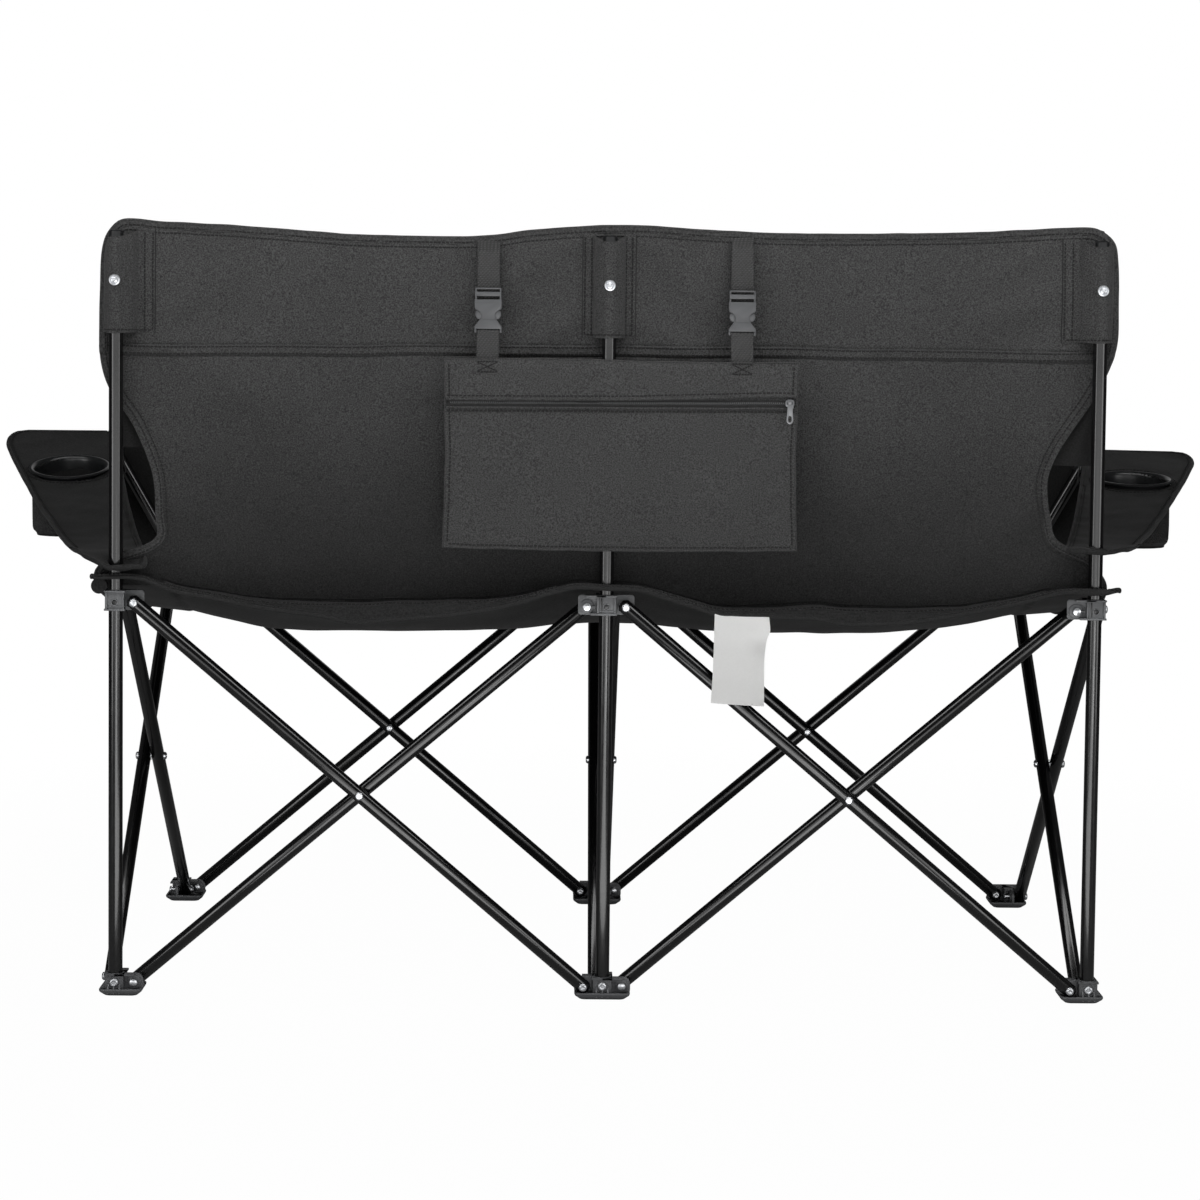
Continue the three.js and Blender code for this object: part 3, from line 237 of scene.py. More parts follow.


# The back's cloth carries painted shade, darkened toward the seat
BACK_CLOTH = woven(
    "coated_polyester_charcoal", "#3c3c3c", "#1f1f1f", "#505050", thread=1.5, height=0.35, painted_low_shade=0.32)
BAG_CLOTH = woven("coated_polyester_grey", "#404040", "#252525", "#545454", thread=1.5, height=0.35)
SEAT_CLOTH = woven("coated_polyester_black", "#1f1f1f", "#060606", "#2b2b2b", thread=1.9, height=0.4)
# A darker copy of the black cloth for places in shade: painted shade
SHADE_PAINTED_CLOTH = woven("black_cloth_painted_shade", "#161616", "#0e0e0e", "#1e1e1e", thread=1.9, height=0.3)
BINDING = woven("grosgrain_binding", "#3a3a3a", "#272727", "#4c4c4c", thread=2.0, height=0.4)
HEM_EDGE = woven("rolled_hem_cloth", "#232323", "#171717", "#2e2e2e", thread=1.8, height=0.3)
NET = woven("knitted_polyester_net", "#343434", "#222222", "#4a4a4a", thread=1.6, height=0.2)
ZIP_COIL = moulded_plastic("moulded_polyester_coil", "#4a4b4c", 0.5)
THREAD = finish("polyester_sewing_thread", "#0b0b0b", 0.8)[0]
ZIP_TAPE = woven("woven_zip_tape", "#282828", "#1f1f1f", "#323232", thread=1.2, height=0.2)
STEEL = powder_coated_steel()
HUB_NYLON = moulded_nylon("moulded_nylon_hubs", "#5e5f61", "#787a7c")
FOOT_NYLON = moulded_nylon("moulded_nylon_feet", "#48494b", "#606163")
ZINC = zinc_plate()
PULL_METAL = finish("gunmetal_zinc_alloy", "#7a7b7d", 0.42, Metallic=0.7)[0]
BUCKLE = moulded_plastic("moulded_acetal", "#58595b", 0.4)
CUP_PLASTIC = moulded_plastic("moulded_polypropylene", "#1d1e1f", 0.28)
WEBBING = webbing()
LABEL = woven_label()


# ---- Forms: points and faces gathered for one piece, in millimetres ----
class Form:
    def __init__(self):
        self.points, self.faces, self.slots = [], [], []

    def add(self, points, faces, slot=0):
        first = len(self.points)
        self.points += [Vector(point) for point in points]
        self.faces += [[first + i for i in face] for face in faces]
        self.slots += [slot] * len(faces)

    def turned(self, profile, foot, direction, sides=28, slot=0):
        """A profile of (height, radius) turned about a line."""
        turn = Vector(direction).to_track_quat("Z", "Y")
        rings, points, faces = [], [], []
        for height, radius in profile:
            count = sides if radius > 1e-6 else 1
            rings.append(range(len(points), len(points) + count))
            for i in range(count):
                angle = math.tau * i / sides
                across = Vector((radius * math.cos(angle), radius * math.sin(angle), height))
                points.append(Vector(foot) + turn @ across)
        for low, high in zip(rings, rings[1:]):
            for i in range(sides):
                a, b = low[i % len(low)], low[(i + 1) % len(low)]
                c, d = high[(i + 1) % len(high)], high[i % len(high)]
                corners = list(dict.fromkeys([a, b, c, d]))
                if len(corners) > 2:
                    faces.append(corners)
        self.add(points, faces, slot)

    def loft(self, rings, capped=True, slot=0):
        """Faces between rings of as many points each, with both ends closed if capped."""
        count, last = len(rings[0]), len(rings) - 1
        faces = [[i * count + k, i * count + (k + 1) % count, (i + 1) * count + (k + 1) % count, (i + 1) * count + k]
                 for i in range(last) for k in range(count)]
        if capped:
            faces += [list(range(count))[::-1], [last * count + k for k in range(count)]]
        self.add([point for ring in rings for point in ring], faces, slot)

    def prism(self, outline, low, high, slot=0):
        """An outline in X and Z, raised along Y from low to high."""
        self.loft([[(x, level, z) for x, z in outline] for level in (low, high)], slot=slot)

    def block(self, low, high, slot=0):
        (a, b, c), (d, e, f) = low, high
        self.prism([(a, c), (d, c), (d, f), (a, f)], b, e, slot=slot)

    def grid(self, columns, rows, point_at, keep=None):
        """A sheet of (columns + 1) by (rows + 1) points; keep says which cells it has."""
        points = [point_at(i / columns, j / rows) for j in range(rows + 1) for i in range(columns + 1)]
        faces = []
        for j in range(rows):
            for i in range(columns):
                a = j * (columns + 1) + i
                if keep is None or keep(points[a], points[a + columns + 2]):
                    faces.append([a, a + 1, a + columns + 2, a + columns + 1])
        self.add(points, faces)

    def strip(self, path, section, closed=False, slot=0):
        """A section, as a function of the place along the path, drawn along it; a closed one has no ends."""
        self.loft([section(i, point) for i, point in enumerate(path)], not closed, slot)

    def made(self, name, materials, bevel=0.0, thick=0.0, offset=0.0):
        """The piece, as a Blender mesh in metres: welded, thickened, bevelled and shaded smooth."""
        mesh = bpy.data.meshes.new(name)
        mesh.from_pydata([p * MM for p in self.points], [], self.faces)
        mesh.polygons.foreach_set("material_index", self.slots)
        mesh.update()
        piece = bpy.data.objects.new(name, mesh)
        bpy.context.scene.collection.objects.link(piece)
        for material in materials:
            mesh.materials.append(material)
        tidy = piece.modifiers.new("weld", "WELD")
        tidy.merge_threshold = 0.01 * MM
        if thick:
            cloth = piece.modifiers.new("thickness", "SOLIDIFY")
            cloth.thickness, cloth.offset = thick * MM, 0.0
        if bevel:
            edge = piece.modifiers.new("edges", "BEVEL")
            edge.width, edge.segments = bevel * MM, 2
            edge.limit_method, edge.angle_limit = "ANGLE", math.radians(35)
        bpy.context.view_layer.update()
        depsgraph = bpy.context.evaluated_depsgraph_get()
        whole = bpy.data.meshes.new_from_object(piece.evaluated_get(depsgraph))
        piece.modifiers.clear()
        piece.data = whole
        whole.name = name
        whole.polygons.foreach_set("use_smooth", [True] * len(whole.polygons))
        whole.set_sharp_from_angle(angle=math.radians(40))
        bpy.data.meshes.remove(mesh)
        return piece


def settle(piece, body, nodes=(), squash=None):
    """Parents a piece to the body that it rides and hides the nodes it stands for; given a squash, the piece gets its
    own mesh.
    """
    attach(piece, body)
    if nodes:
        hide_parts(*nodes)
    if squash:
        joint, axis, anchor = squash
        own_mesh(piece)
        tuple(axis)
        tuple(anchor)


def settle_on_back(piece, nodes=()):
    """What is sewn to the back rides the rear centre leg with it."""
    settle(piece, "rear_centre_leg", nodes, ("fold", (1, 0, 0), (0, 0, 0)))


# ---- Fasteners: (height, radius) down each head's outline ----
RIVET_HEAD = [(-1.0, 4.8), (0.4, 4.85), (1.4, 4.5), (2.3, 3.5), (2.6, 2.5), (2.5, 2.1), (1.6, 1.7), (1.4, 0.0)]
RIVET_TAIL = [(0.0, SHANK_RADIUS), (11.2, SHANK_RADIUS), (11.2, 4.6), (12.6, 4.2), (13.4, 2.4), (13.6, 0.0)]
STUD_HEAD = [(-0.8, 6.4), (0.6, 6.4), (1.3, 6.0), (1.5, 4.9), (0.9, 4.3), (1.2, 3.8), (2.5, 3.2), (2.9, 1.9),
             (2.3, 1.3), (2.2, 0.0)]
SCREW_HEAD = [(-0.8, 5.0), (0.5, 5.1), (1.5, 4.8), (2.1, 4.0), (2.2, 3.2), (1.6, 2.8), (1.5, 2.0), (2.0, 1.6),
              (2.0, 0.0)]


def stitches(form, path, pitch=4.6, length=3.3, radius=0.8):
    """Single stitches laid along a path of points, each a short bar of thread drawn coarse enough to show."""
    spans = [(b - a).length for a, b in zip(path, path[1:])]
    total, at = sum(spans), 0.4 * pitch
    ends = [0.0]
    for span in spans:
        ends.append(ends[-1] + span)

    def place(distance):
        distance = min(max(distance, 0.0), total)
        i = next(k for k in range(len(spans)) if distance <= ends[k + 1] + 1e-9)
        return path[i].lerp(path[i + 1], (distance - ends[i]) / max(spans[i], 1e-9))

    while at + length < total:
        a, b = place(at), place(at + length)
        along = (b - a).normalized()
        side = along.cross(REARWARD if abs(along.y) < 0.8 else UP).normalized() * radius
        over = along.cross(side).normalized() * radius
        rim = (side, over * 0.7, -side, -over * 0.7)
        form.add([a + p for p in rim] + [b + p for p in rim],
                 [[3, 2, 1, 0], [4, 5, 6, 7], [0, 1, 5, 4], [1, 2, 6, 5], [2, 3, 7, 6], [3, 0, 4, 7]])
        at += pitch


# ---- Frame: posts, struts, rivets ----
def strut(name, body, start, end, ear_side):
    """A swaged tube from pivot to pivot; ear_side points from the tube to its hub's ear."""
    start, end, ear_side = Vector(start), Vector(end), Vector(ear_side)
    along = (end - start).normalized()
    length = (end - start).length
    form = Form()
    r, over = TUBE_RADIUS, 7.5
    swage = [(-over, 0.0), (-over, 3.4), (-over + 0.5, 4.4), (-over + 1.8, 5.6), (-over + 3.6, 7.4), (-over + 4.6, r)]
    profile = swage + [(length - h, radius) for h, radius in reversed(swage)]
    form.turned(profile, start, along, 32)
    for pivot in (start, end):
        form.turned(RIVET_HEAD, pivot - ear_side * (r - 0.2), -ear_side, 24, slot=1)
        form.turned(RIVET_TAIL, pivot + ear_side * (r - 0.5), ear_side, 20, slot=1)
    settle(form.made(name, [STEEL, ZINC]), body, [name])


SCISSORS = [
    ("rear_left", ("centre", "rear"), ("left", "rear"), 1),
    ("rear_right", ("centre", "rear"), ("right", "rear"), -1),
    ("front_left", ("centre", "front"), ("left", "front"), 1),
    ("front_right", ("centre", "front"), ("right", "front"), -1),
    ("side_left", ("left", "rear"), ("left", "front"), 1),
    ("side_centre", ("centre", "rear"), ("centre", "front"), 1),
    ("side_right", ("right", "rear"), ("right", "front"), 1),
]


def station(column, row):
    """The foot of a column of posts."""
    return Vector((COLUMN_X[column], ROW_Y[row], 0))


def scissor_axes(first, last):
    """The direction that a scissor runs in, and the one that its struts are set off in."""
    along = (station(*last) - station(*first)).normalized()
    return along, Vector((abs(along.y), abs(along.x), 0))


def scissor(name, first, last, rising_side):
    along, across = scissor_axes(first, last)
    near, far = station(*first) + along * PIVOT_INSET, station(*last) - along * PIVOT_INSET
    low, high = UP * FOOT_PIVOT, UP * HUB_PIVOT
    for role, side, a, b in (("rising", rising_side, near + low, far + high),
                             ("falling", -rising_side, near + high, far + low)):
        shift = across * side * STRUT_OFFSET
        strut(f"{name}_{role}_strut", f"{name}_{role}", a + shift, b + shift, -across * side)
    crossing = (near + far + low + high) / 2
    reach = STRUT_OFFSET + TUBE_RADIUS
    form = Form()
    form.turned([(-reach, SHANK_RADIUS), (reach, SHANK_RADIUS)], crossing, across, 16)
    for way in (-1, 1):
        form.turned(RIVET_HEAD, crossing + across * way * (reach + 0.1), across * way, 24)
    form.turned([(-0.29, 5.5), (0.29, 5.5)], crossing, across, 20)
    settle(form.made(f"{name}_crossing_rivet_head", [ZINC]), f"{name}_rising", [f"{name}_crossing_rivet"])


def rear_post(column):
    form = Form()
    foot = Vector((COLUMN_X[column], ROW, 0))
    r, cap_low = TUBE_RADIUS, POST_TOP - 12
    form.turned([(4.2, 0.0), (4.2, r), (cap_low, r)], foot, UP, 36)
    cap = [(cap_low, r), (cap_low, r + 0.3), (POST_TOP - 1.5, r), (POST_TOP - 0.3, r - 1.2), (POST_TOP, 0.0)]
    form.turned(cap, foot, UP, 36, slot=2)
    form.turned(SCREW_HEAD, foot + Vector((0, 10.9, FOOT_PIVOT)), REARWARD, 24, slot=1)
    for height in (FOOT_PIVOT, STUD_HEIGHT):
        shank = [(0.0, SHANK_RADIUS), (5.0, SHANK_RADIUS)]
        form.turned(shank, foot + Vector((0, 7.0, height)), REARWARD, 12, slot=1)
    form.turned(STUD_HEAD, foot + Vector((0, 11.2, STUD_HEIGHT)), REARWARD, 32, slot=1)
    tube = form.made(f"rear_{column}_tube", [STEEL, ZINC, CUP_PLASTIC])
    settle(tube, REAR_BODY[column], [f"rear_{column}_post"])


# ---- Hubs and feet ----
BLOCK_HALF = 10.5
EAR_REACH = 32.0


def ears_of(column, row, is_hub):
    """(direction, across, side) of each ear: side is where its plate lies from the scissor's plane."""
    found = []
    for _, first, last, rising_side in SCISSORS:
        along, across = scissor_axes(first, last)
        strut_side = rising_side * (-1 if is_hub else 1)
        if (column, row) == first:
            found.append((along, across, -strut_side))
        if (column, row) == last:
            found.append((-along, across, strut_side))
    return found


class Moulding(Form):
    """A plastic moulding: blocks laid along its ears, round its post's axis."""

    def __init__(self, centre):
        super().__init__()
        self.centre = Vector(centre)

    def lay(self, ear, start, end, inner, outer, bottom, top, slot=0):
        along, across, side = ear
        a = self.centre + along * start + across * side * inner
        b = self.centre + along * end + across * side * outer
        low = [min(a.x, b.x), min(a.y, b.y), self.centre.z + bottom]
        high = [max(a.x, b.x), max(a.y, b.y), self.centre.z + top]
        self.block(low, high, slot)

    def plate(self, ear, outline, inner, outer):
        """An outline of (along, height), raised across the ear."""
        along, across, side = ear
        self.loft([[self.centre + along * a + across * side * depth + UP * h for a, h in outline]
                   for depth in (inner, outer)])


# How far from its scissor's plane an ear's plate starts and ends, and its gusset
EAR_PLATE = (0.1, 3.3)
GUSSET = (3.0, 5.4)


def arm_line(column):
    """The side an arm post leans to, its direction, and where its axis meets the hub."""
    side = SIDE_OF[column]
    line = Vector((side * math.sin(ARM_LEAN), 0, math.cos(ARM_LEAN)))
    return side, line, Vector((side * POST_SPACING, -ROW, HUB_PIVOT - 8))


def ear_gusset(top):
    """A triangle between the block and its ear, under the top."""
    return [(BLOCK_HALF - 1, top - 1), (PIVOT_INSET, top - 1), (BLOCK_HALF - 1, top - 9)]


def ear_outline(low, high, corner=3.5):
    """An ear's side view: a plate from the block past the rivet, its corners rounded."""
    points = [(0.0, low)]
    for quarter, height in ((-1, low + corner), (0, high - corner)):
        for angle in spread(quarter * math.pi / 2, (quarter + 1) * math.pi / 2, 4):
            points.append((EAR_REACH - corner + corner * math.cos(angle), height + corner * math.sin(angle)))
    return points + [(0.0, high)]


def hub(column, row):
    """A block with a lip above and below, round its post, and a ribbed ear with a boss for each strut."""
    form = Moulding((COLUMN_X[column], ROW_Y[row], HUB_PIVOT))
    c, half = form.centre, BLOCK_HALF
    bottom, top, rib = -9.5, 13.3, 2.2
    inner, lip = half - 1.2, half + 1.2
    for reach, low, high in ((inner, bottom, top - 0.3), (lip, top - rib, top), (lip, bottom, bottom + rib)):
        form.block((c.x - reach, c.y - reach, c.z + low), (c.x + reach, c.y + reach, c.z + high))
    for corner_x in (-1, 1):
        for corner_y in (-1, 1):
            x, y = c.x + corner_x * (half - 0.9), c.y + corner_y * (half - 0.9)
            form.block((x - 1.1, y - 1.1, c.z + bottom + 1), (x + 1.1, y + 1.1, c.z + top - 1))
    for ear in ears_of(column, row, True):
        form.plate(ear, ear_outline(bottom, top), *EAR_PLATE)
        form.lay(ear, 0, PIVOT_INSET + 1, EAR_PLATE[0] + 0.05, lip, top - rib, top)
        form.lay(ear, 0, PIVOT_INSET - 4, EAR_PLATE[0] + 0.05, lip - 0.3, bottom, bottom + rib)
        form.plate(ear, ear_gusset(top), *GUSSET)
        web_end = PIVOT_INSET - 4
        form.plate(ear, [(half + 2, -0.8), (web_end, -0.8), (web_end, 0.8), (half + 2, 0.8)], 3.0, 9.0)
        # Two dark bars on the block's face by each ear: painted shade for slots in the moulding
        for place in (4.6, 8.2):
            form.lay(ear, place, place + 1.5, half - 1.0, half + 0.1, bottom + 3, top - 3, slot=1)
        boss = c + ear[0] * PIVOT_INSET + ear[1] * ear[2] * 3.2
        form.turned([(0.0, 8.3), (1.6, 8.3), (2.0, 7.6), (2.0, 0.0)], boss, ear[1] * ear[2], 28)
        form.lay(ear, -half, half, -half + 0.9, -half - 0.2, bottom + 4.2, bottom + 5.4)
    if row == "rear":
        collar = [(bottom - 0.4, 9.6), (bottom + 0.6, 10.3), (bottom + 0.6, 8.3), (top, 8.3), (top + 0.5, 8.5),
                  (top + 0.5, 10.0), (top - 0.5, 10.4)]
        form.turned(collar, c, UP, 32)
        form.turned([(half - 1.5, 3.9), (half + 0.5, 3.9), (half + 0.5, 3.0), (half - 1.5, 3.0)], c, REARWARD, 24)
        # A dark disc in the hole: painted shade for its depth
        form.turned([(half - 1.5, 3.0), (half - 0.4, 3.0), (half - 0.4, 0.0)], c, REARWARD, 24, slot=1)
    elif column != "centre":
        side, line, root = arm_line(column)
        socket = [(8, 9.0), (10, 10.6), (29, 10.6), (31, 10.2), (32, 9.4), (32, 8.4), (24, 8.4)]
        form.turned(socket, root, line, 32)
        brace = [(9, 12), (17, 12), (24, 26), (21, 27), (9, 4)]
        form.plate((Vector((side, 0, 0)), REARWARD, 1), brace, -1.3, 1.3)
    name = f"{row}_{column}_hub"
    settle(form.made(name + "_moulding", [HUB_NYLON, CUP_PLASTIC], bevel=0.45), name, [name])

def foot(column, row):
    """A dished tray with rounded corners, a block for the post and a ribbed ear for each strut."""
    form = Moulding((COLUMN_X[column], ROW_Y[row], 0))
    ears = ears_of(column, row, False)
    c, half = form.centre, BLOCK_HALF
    top, rib, short_reach = 24.5, 2.2, 17.5

    def reach(way):
        return EAR_REACH if any((ear[0] - way).length < 0.1 for ear in ears) else short_reach

    spans = [reach(way) for way in (RIGHTWARD, REARWARD, -RIGHTWARD, -REARWARD)]

    def ring(inset, height, radius):
        east, north, west, south = (span - inset - radius for span in spans)
        points = []
        for quarter, (x, y) in enumerate(((east, north), (-west, north), (-west, -south), (east, -south))):
            for angle in spread(quarter * math.pi / 2, (quarter + 1) * math.pi / 2, 6):
                points.append(Vector((c.x + x + radius * math.cos(angle), c.y + y + radius * math.sin(angle), height)))
        return points

    # Down the outside and over the rim into the dish: inset, height and corner radius
    tray = [(7.0, 0.0, 6.0), (6.2, 0.3, 6.0), (1.2, 4.6, 6.5), (0.3, 6.6, 7.0), (0.6, 8.2, 7.0), (1.6, 8.6, 6.5),
            (2.6, 8.0, 6.0), (2.9, 4.0, 6.0), (4.5, 3.4, 5.0)]
    form.loft([ring(*level) for level in tray])
    form.block((c.x - half, c.y - half, 1.0), (c.x + half, c.y + half, top))
    lip = half + 1.3
    form.block((c.x - lip, c.y - lip, top - rib), (c.x + lip, c.y + lip, top + 0.1))
    for ear in ears:
        form.plate(ear, ear_outline(2.0, top, corner=8.0), *EAR_PLATE)
        form.lay(ear, 0, PIVOT_INSET + 1, EAR_PLATE[0] + 0.05, lip, top - rib, top + 0.1)
        form.plate(ear, ear_gusset(top), *GUSSET)
        form.plate(ear, [(half - 1, 3.0), (EAR_REACH - 6, 3.0), (EAR_REACH - 8, 5.4), (half - 1, 9.0)], 3.0, 5.2)
        boss = Vector((c.x, c.y, FOOT_PIVOT)) + ear[0] * PIVOT_INSET + ear[1] * ear[2] * 3.2
        form.turned([(0.0, 8.0), (1.5, 8.0), (1.9, 7.3), (1.9, 0.0)], boss, ear[1] * ear[2], 28)
    for way in (RIGHTWARD, -RIGHTWARD, REARWARD, -REARWARD):
        if reach(way) == short_reach:
            across = Vector((way.y, way.x, 0))
            web = [(half - 1, 3.0), (16.2, 3.0), (15.6, 8.4), (half - 1, 15.0)]
            for shift in (-6.5, 0.0, 6.5):
                form.plate((way, across, 1), web, shift - 0.9, shift + 0.9)
    mouth = Vector((c.x, c.y, top))
    if row == "rear":
        rear_face = Vector((c.x, c.y + half - 0.3, FOOT_PIVOT))
        form.turned([(0.0, 7.4), (0.9, 7.4), (1.1, 6.8), (0.5, 6.4)], rear_face, REARWARD, 28)
        form.turned([(-1.0, 8.6), (0.5, 8.6), (0.8, 9.2), (0.5, 10.2), (-1.0, 10.4)], mouth, UP, 32)
    else:
        form.turned([(-1.0, 6.5), (0.6, 6.5), (1.0, 6.0), (1.0, 0.0)], mouth, UP, 32)
    name = f"{row}_{column}_foot"
    body = REAR_BODY[column] if row == "rear" else name
    settle(form.made(name + "_moulding", [FOOT_NYLON], bevel=0.4), body, [name])


def arm_post(column):
    """The leaning tube under an arm rest, with its end cap; the right one ends lower, as its arm rest does."""
    _, line, root = arm_line(column)
    cad_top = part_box(f"{column}_arm_post")[1].z / MM
    drop = 1 if column == "left" else 13
    end = (cad_top - drop - 9 * math.sin(ARM_LEAN) - root.z) / math.cos(ARM_LEAN)
    form = Form()
    form.turned([(7, 0.0), (7, TUBE_RADIUS), (end - 2, TUBE_RADIUS)], root, line, 36)
    cap = [(end - 9, 8.1), (end - 9, 8.8), (end - 1.4, 9.0), (end - 0.2, 8.2), (end + 0.8, 5.0), (end + 1.2, 0.0)]
    form.turned(cap, root, line, 36, slot=1)
    tube = form.made(f"{column}_arm_tube", [STEEL, CUP_PLASTIC])
    settle(tube, f"front_{column}_hub", [f"{column}_arm_post"])


for one in SCISSORS:
    scissor(*one)
for column in COLUMN_X:
    rear_post(column)
    for row in ROW_Y:
        hub(column, row)
        foot(column, row)
for column in SIDE_OF:
    arm_post(column)


# ---- Cloth surfaces ----
def smooth(low, high, value):
    """0 up to low, 1 from high on, and an S between."""
    share = min(max((value - low) / (high - low), 0.0), 1.0)
    return share * share * (3 - 2 * share)


def between(table, value):
    """A smooth reading between the (place, size) pairs of a table, never beyond its pairs."""
    if value <= table[0][0]:
        return table[0][1]
    for k, ((a, u), (b, v)) in enumerate(zip(table, table[1:])):
        if value <= b:
            gap, rise = b - a, (v - u) / (b - a)
            before = (u - table[k - 1][1]) / (a - table[k - 1][0]) if k else rise
            after = (table[k + 2][1] - v) / (table[k + 2][0] - b) if k + 2 < len(table) else rise
            lean_in = (before + rise) / 2 if before * rise > 0 else 0.0
            lean_out = (after + rise) / 2 if after * rise > 0 else 0.0
            t = (value - a) / gap
            return (u * (1 + 2 * t) * (1 - t) ** 2 + v * t * t * (3 - 2 * t)
                    + gap * (lean_in * t * (1 - t) ** 2 - lean_out * t * t * (1 - t)))
    return table[-1][1]


def crumple(x, y, size, seed):
    """Slow noise of about -1 to 1, its bumps of a given size; the seed picks the layer."""
    return noise.noise(Vector((x / size, y / size, seed)))


def free_share(distance):
    """How far along the cloth's free length between two hubs a place is, given its distance from one."""
    return max(0.0, distance - EAR_REACH) / (POST_SPACING - 2 * EAR_REACH)


def dip_at(x):
    """0 at the posts and 1 halfway between them."""
    from_post = abs(x - POST_SPACING * round(x / POST_SPACING))
    return (1 - math.cos(math.tau * free_share(from_post))) / 2


def oval(point, out, half_out, over, half_over, count=8):
    """A small oval ring of points about a place on a path."""
    return [point + out * half_out * math.cos(angle) + over * half_over * math.sin(angle)
            for angle in spread(0, math.tau, count)[:-1]]


# ---- Back panel ----
BACK_REAR = ROW - TUBE_RADIUS - 0.5
SEAM_HEIGHT = 735.0
# The seat's rear hem as the photograph shows it: place across, height of its lower line
HEM_LOW = [(-580, 470.7), (-550, 470), (-517, 469.7), (-469, 457.8), (-428, 449.2), (-388, 441.5), (-339, 434.1),
           (-274, 431.4), (-241, 437), (-193, 438.7), (-121, 442.1), (-103, 448), (-62, 460.8), (-38, 467.7),
           (1, 469.3), (31, 470.7), (58, 464.9), (96, 453), (123, 446.2), (173, 438.1), (245, 431.2), (280, 427.8),
           (322, 435.5), (371, 441.4), (402, 446), (440, 453.5), (486, 461.7), (507, 469.2), (522, 475), (580, 475.2)]
# How much higher the hem's upper line runs
HEM_BAND = [(-410, 2), (-339, 10), (-274, 13), (-193, 6), (-130, 4), (-60, 2), (60, 2), (123, 6), (173, 11),
            (245, 16), (280, 18), (322, 10), (371, 5), (410, 2)]
BACK_LOW, SIDE_TOP = 452.0, 874.0
# The top edge: place across and height
BACK_TOP_EDGE = [(-585, 852), (-575, 868), (-560, 879), (-541, 881.6), (-507, 880.6), (-440, 876.5), (-338, 873.1),
                 (-236, 871.7), (-169, 872.2), (-101, 874.8), (-33, 878.5), (0, 878.3), (34, 876.6), (68, 874),
                 (102, 870.3), (135, 865.6), (169, 863.9), (237, 864.2), (304, 865.7), (372, 870.5), (439, 874.2),
                 (506, 876.8), (540, 879.6), (558, 878), (573, 866), (585, 848)]
BACK_TOP = 881.0
# The side edges: height, then how far out the edge lies, as the photograph shows each side
BACK_SIDE = {
    "left": [(448, 562), (458, 576), (470, 581), (484, 580), (493, 571), (501, 556), (508, 530), (515, 513),
             (540, 511), (590, 514), (620, 524), (655, 541), (680, 559), (705, 570), (742, 575), (800, 574),
             (850, 571), (866, 565), (876, 556)],
    "right": [(448, 560), (468, 570), (482, 569), (490, 562), (498, 558), (513, 548), (519, 522), (525, 512),
              (544, 506), (592, 499), (619, 507), (649, 525), (680, 546), (701, 558), (744, 575), (800, 576),
              (850, 574), (866, 571), (877, 560)],
}
# Soft folds in the back: start x and z, end x and z, width and depth
BACK_FOLDS = [
    (40, 770, 210, 690, 26, 3.4), (-40, 765, -190, 690, 24, 3.2), (500, 770, 380, 860, 30, 3.0),
    (505, 745, 330, 640, 40, 3.4), (-500, 800, -330, 745, 30, 3.4), (-505, 740, -360, 600, 44, 3.6),
    (35, 860, 150, 800, 22, 2.6), (-40, 860, -120, 780, 22, 2.8), (-490, 860, -400, 800, 20, 2.6),
    (505, 640, 470, 500, 22, 3.6), (-495, 640, -470, 500, 22, 3.6), (250, 640, 330, 500, 60, 2.6),
    (-300, 650, -260, 500, 60, 2.6), (490, 560, 380, 480, 30, 3.2), (-480, 560, -380, 480, 30, 3.2),
]
# Where the rows of the back's mesh go: crowded about the seam, to show its turned edges
SEAM_ROWS = [(0, 0), (0.40, 0.60), (0.50, 0.635), (0.72, 0.685), (0.80, 0.73), (1, 1)]


def fold_lift(folds, x, z):
    lift = 0.0
    for x0, z0, x1, z1, width, depth in folds:
        run = Vector((x1 - x0, z1 - z0))
        share = ((x - x0) * run.x + (z - z0) * run.y) / run.length_squared
        if -0.3 < share < 1.3:
            off = ((x - x0) * run.y - (z - z0) * run.x) / run.length
            fade = smooth(-0.3, 0.15, share) * (1 - smooth(0.5, 1.3, share))
            lift += depth * fade * math.exp(-(off / (width * (0.5 + 0.6 * max(share, 0)))) ** 2)
    return lift


def back_half_width(z, side):
    return between(BACK_SIDE["left" if side > 0 else "right"], z)


def back_top_at(x):
    return between(BACK_TOP_EDGE, x) + 0.8 * crumple(x, 0, 26, 3.1)


def hem_low_at(x):
    return between(HEM_LOW, x)


def hem_high_at(x):
    return hem_low_at(x) + between(HEM_BAND, x)


def seam_at(x):
    return SEAM_HEIGHT + 1.6 * math.cos(x / 180) + 1.5 * crumple(x, 0, 90, 6.6) - 0.003 * x


def back_lift(x, z):
    """How far the cloth stands toward the rear of its plane; less than nothing is toward the sitter."""
    lift = fold_lift(BACK_FOLDS, x, z)
    lift += 4.5 * crumple(x, z, 130, 1.7) + 2.4 * crumple(x * 1.2, z * 0.8, 46, 5.2) + 0.6 * crumple(x, z, 17, 9.3)
    from_post = abs(x - POST_SPACING * round(x / POST_SPACING))
    lift *= 1 - 0.6 * math.exp(-(from_post / 26) ** 2)
    lift -= 9 * math.sin(math.pi * min(from_post / POST_SPACING * 2, 1) / 2) ** 1.5
    from_seam = abs(z - seam_at(x))
    lift += 1.1 * (1 - smooth(4.6, 5.8, from_seam)) - 0.9 * math.exp(-((from_seam - 6.6) / 1.3) ** 2)
    pucker = math.sin(x / 4.2 + 3 * crumple(x, z, 30, 2.2)) * crumple(x, z, 50, 7.7)
    lift += 2.6 * pucker * math.exp(-max(from_seam - 5, 0) / 12)
    from_top = back_top_at(x) - z
    gathers = 0.6 * math.sin(x / 6.0 + 4 * crumple(x, z, 40, 4.2)) * math.exp(-max(from_top - 8, 0) / 8)
    lift += gathers * (1 if from_top > 6 else 0.2)
    return 1.15 * lift - 3.2 - 20 * (1 - smooth(BACK_LOW - 20, BACK_LOW + 190, z)) * dip_at(x) ** 0.7


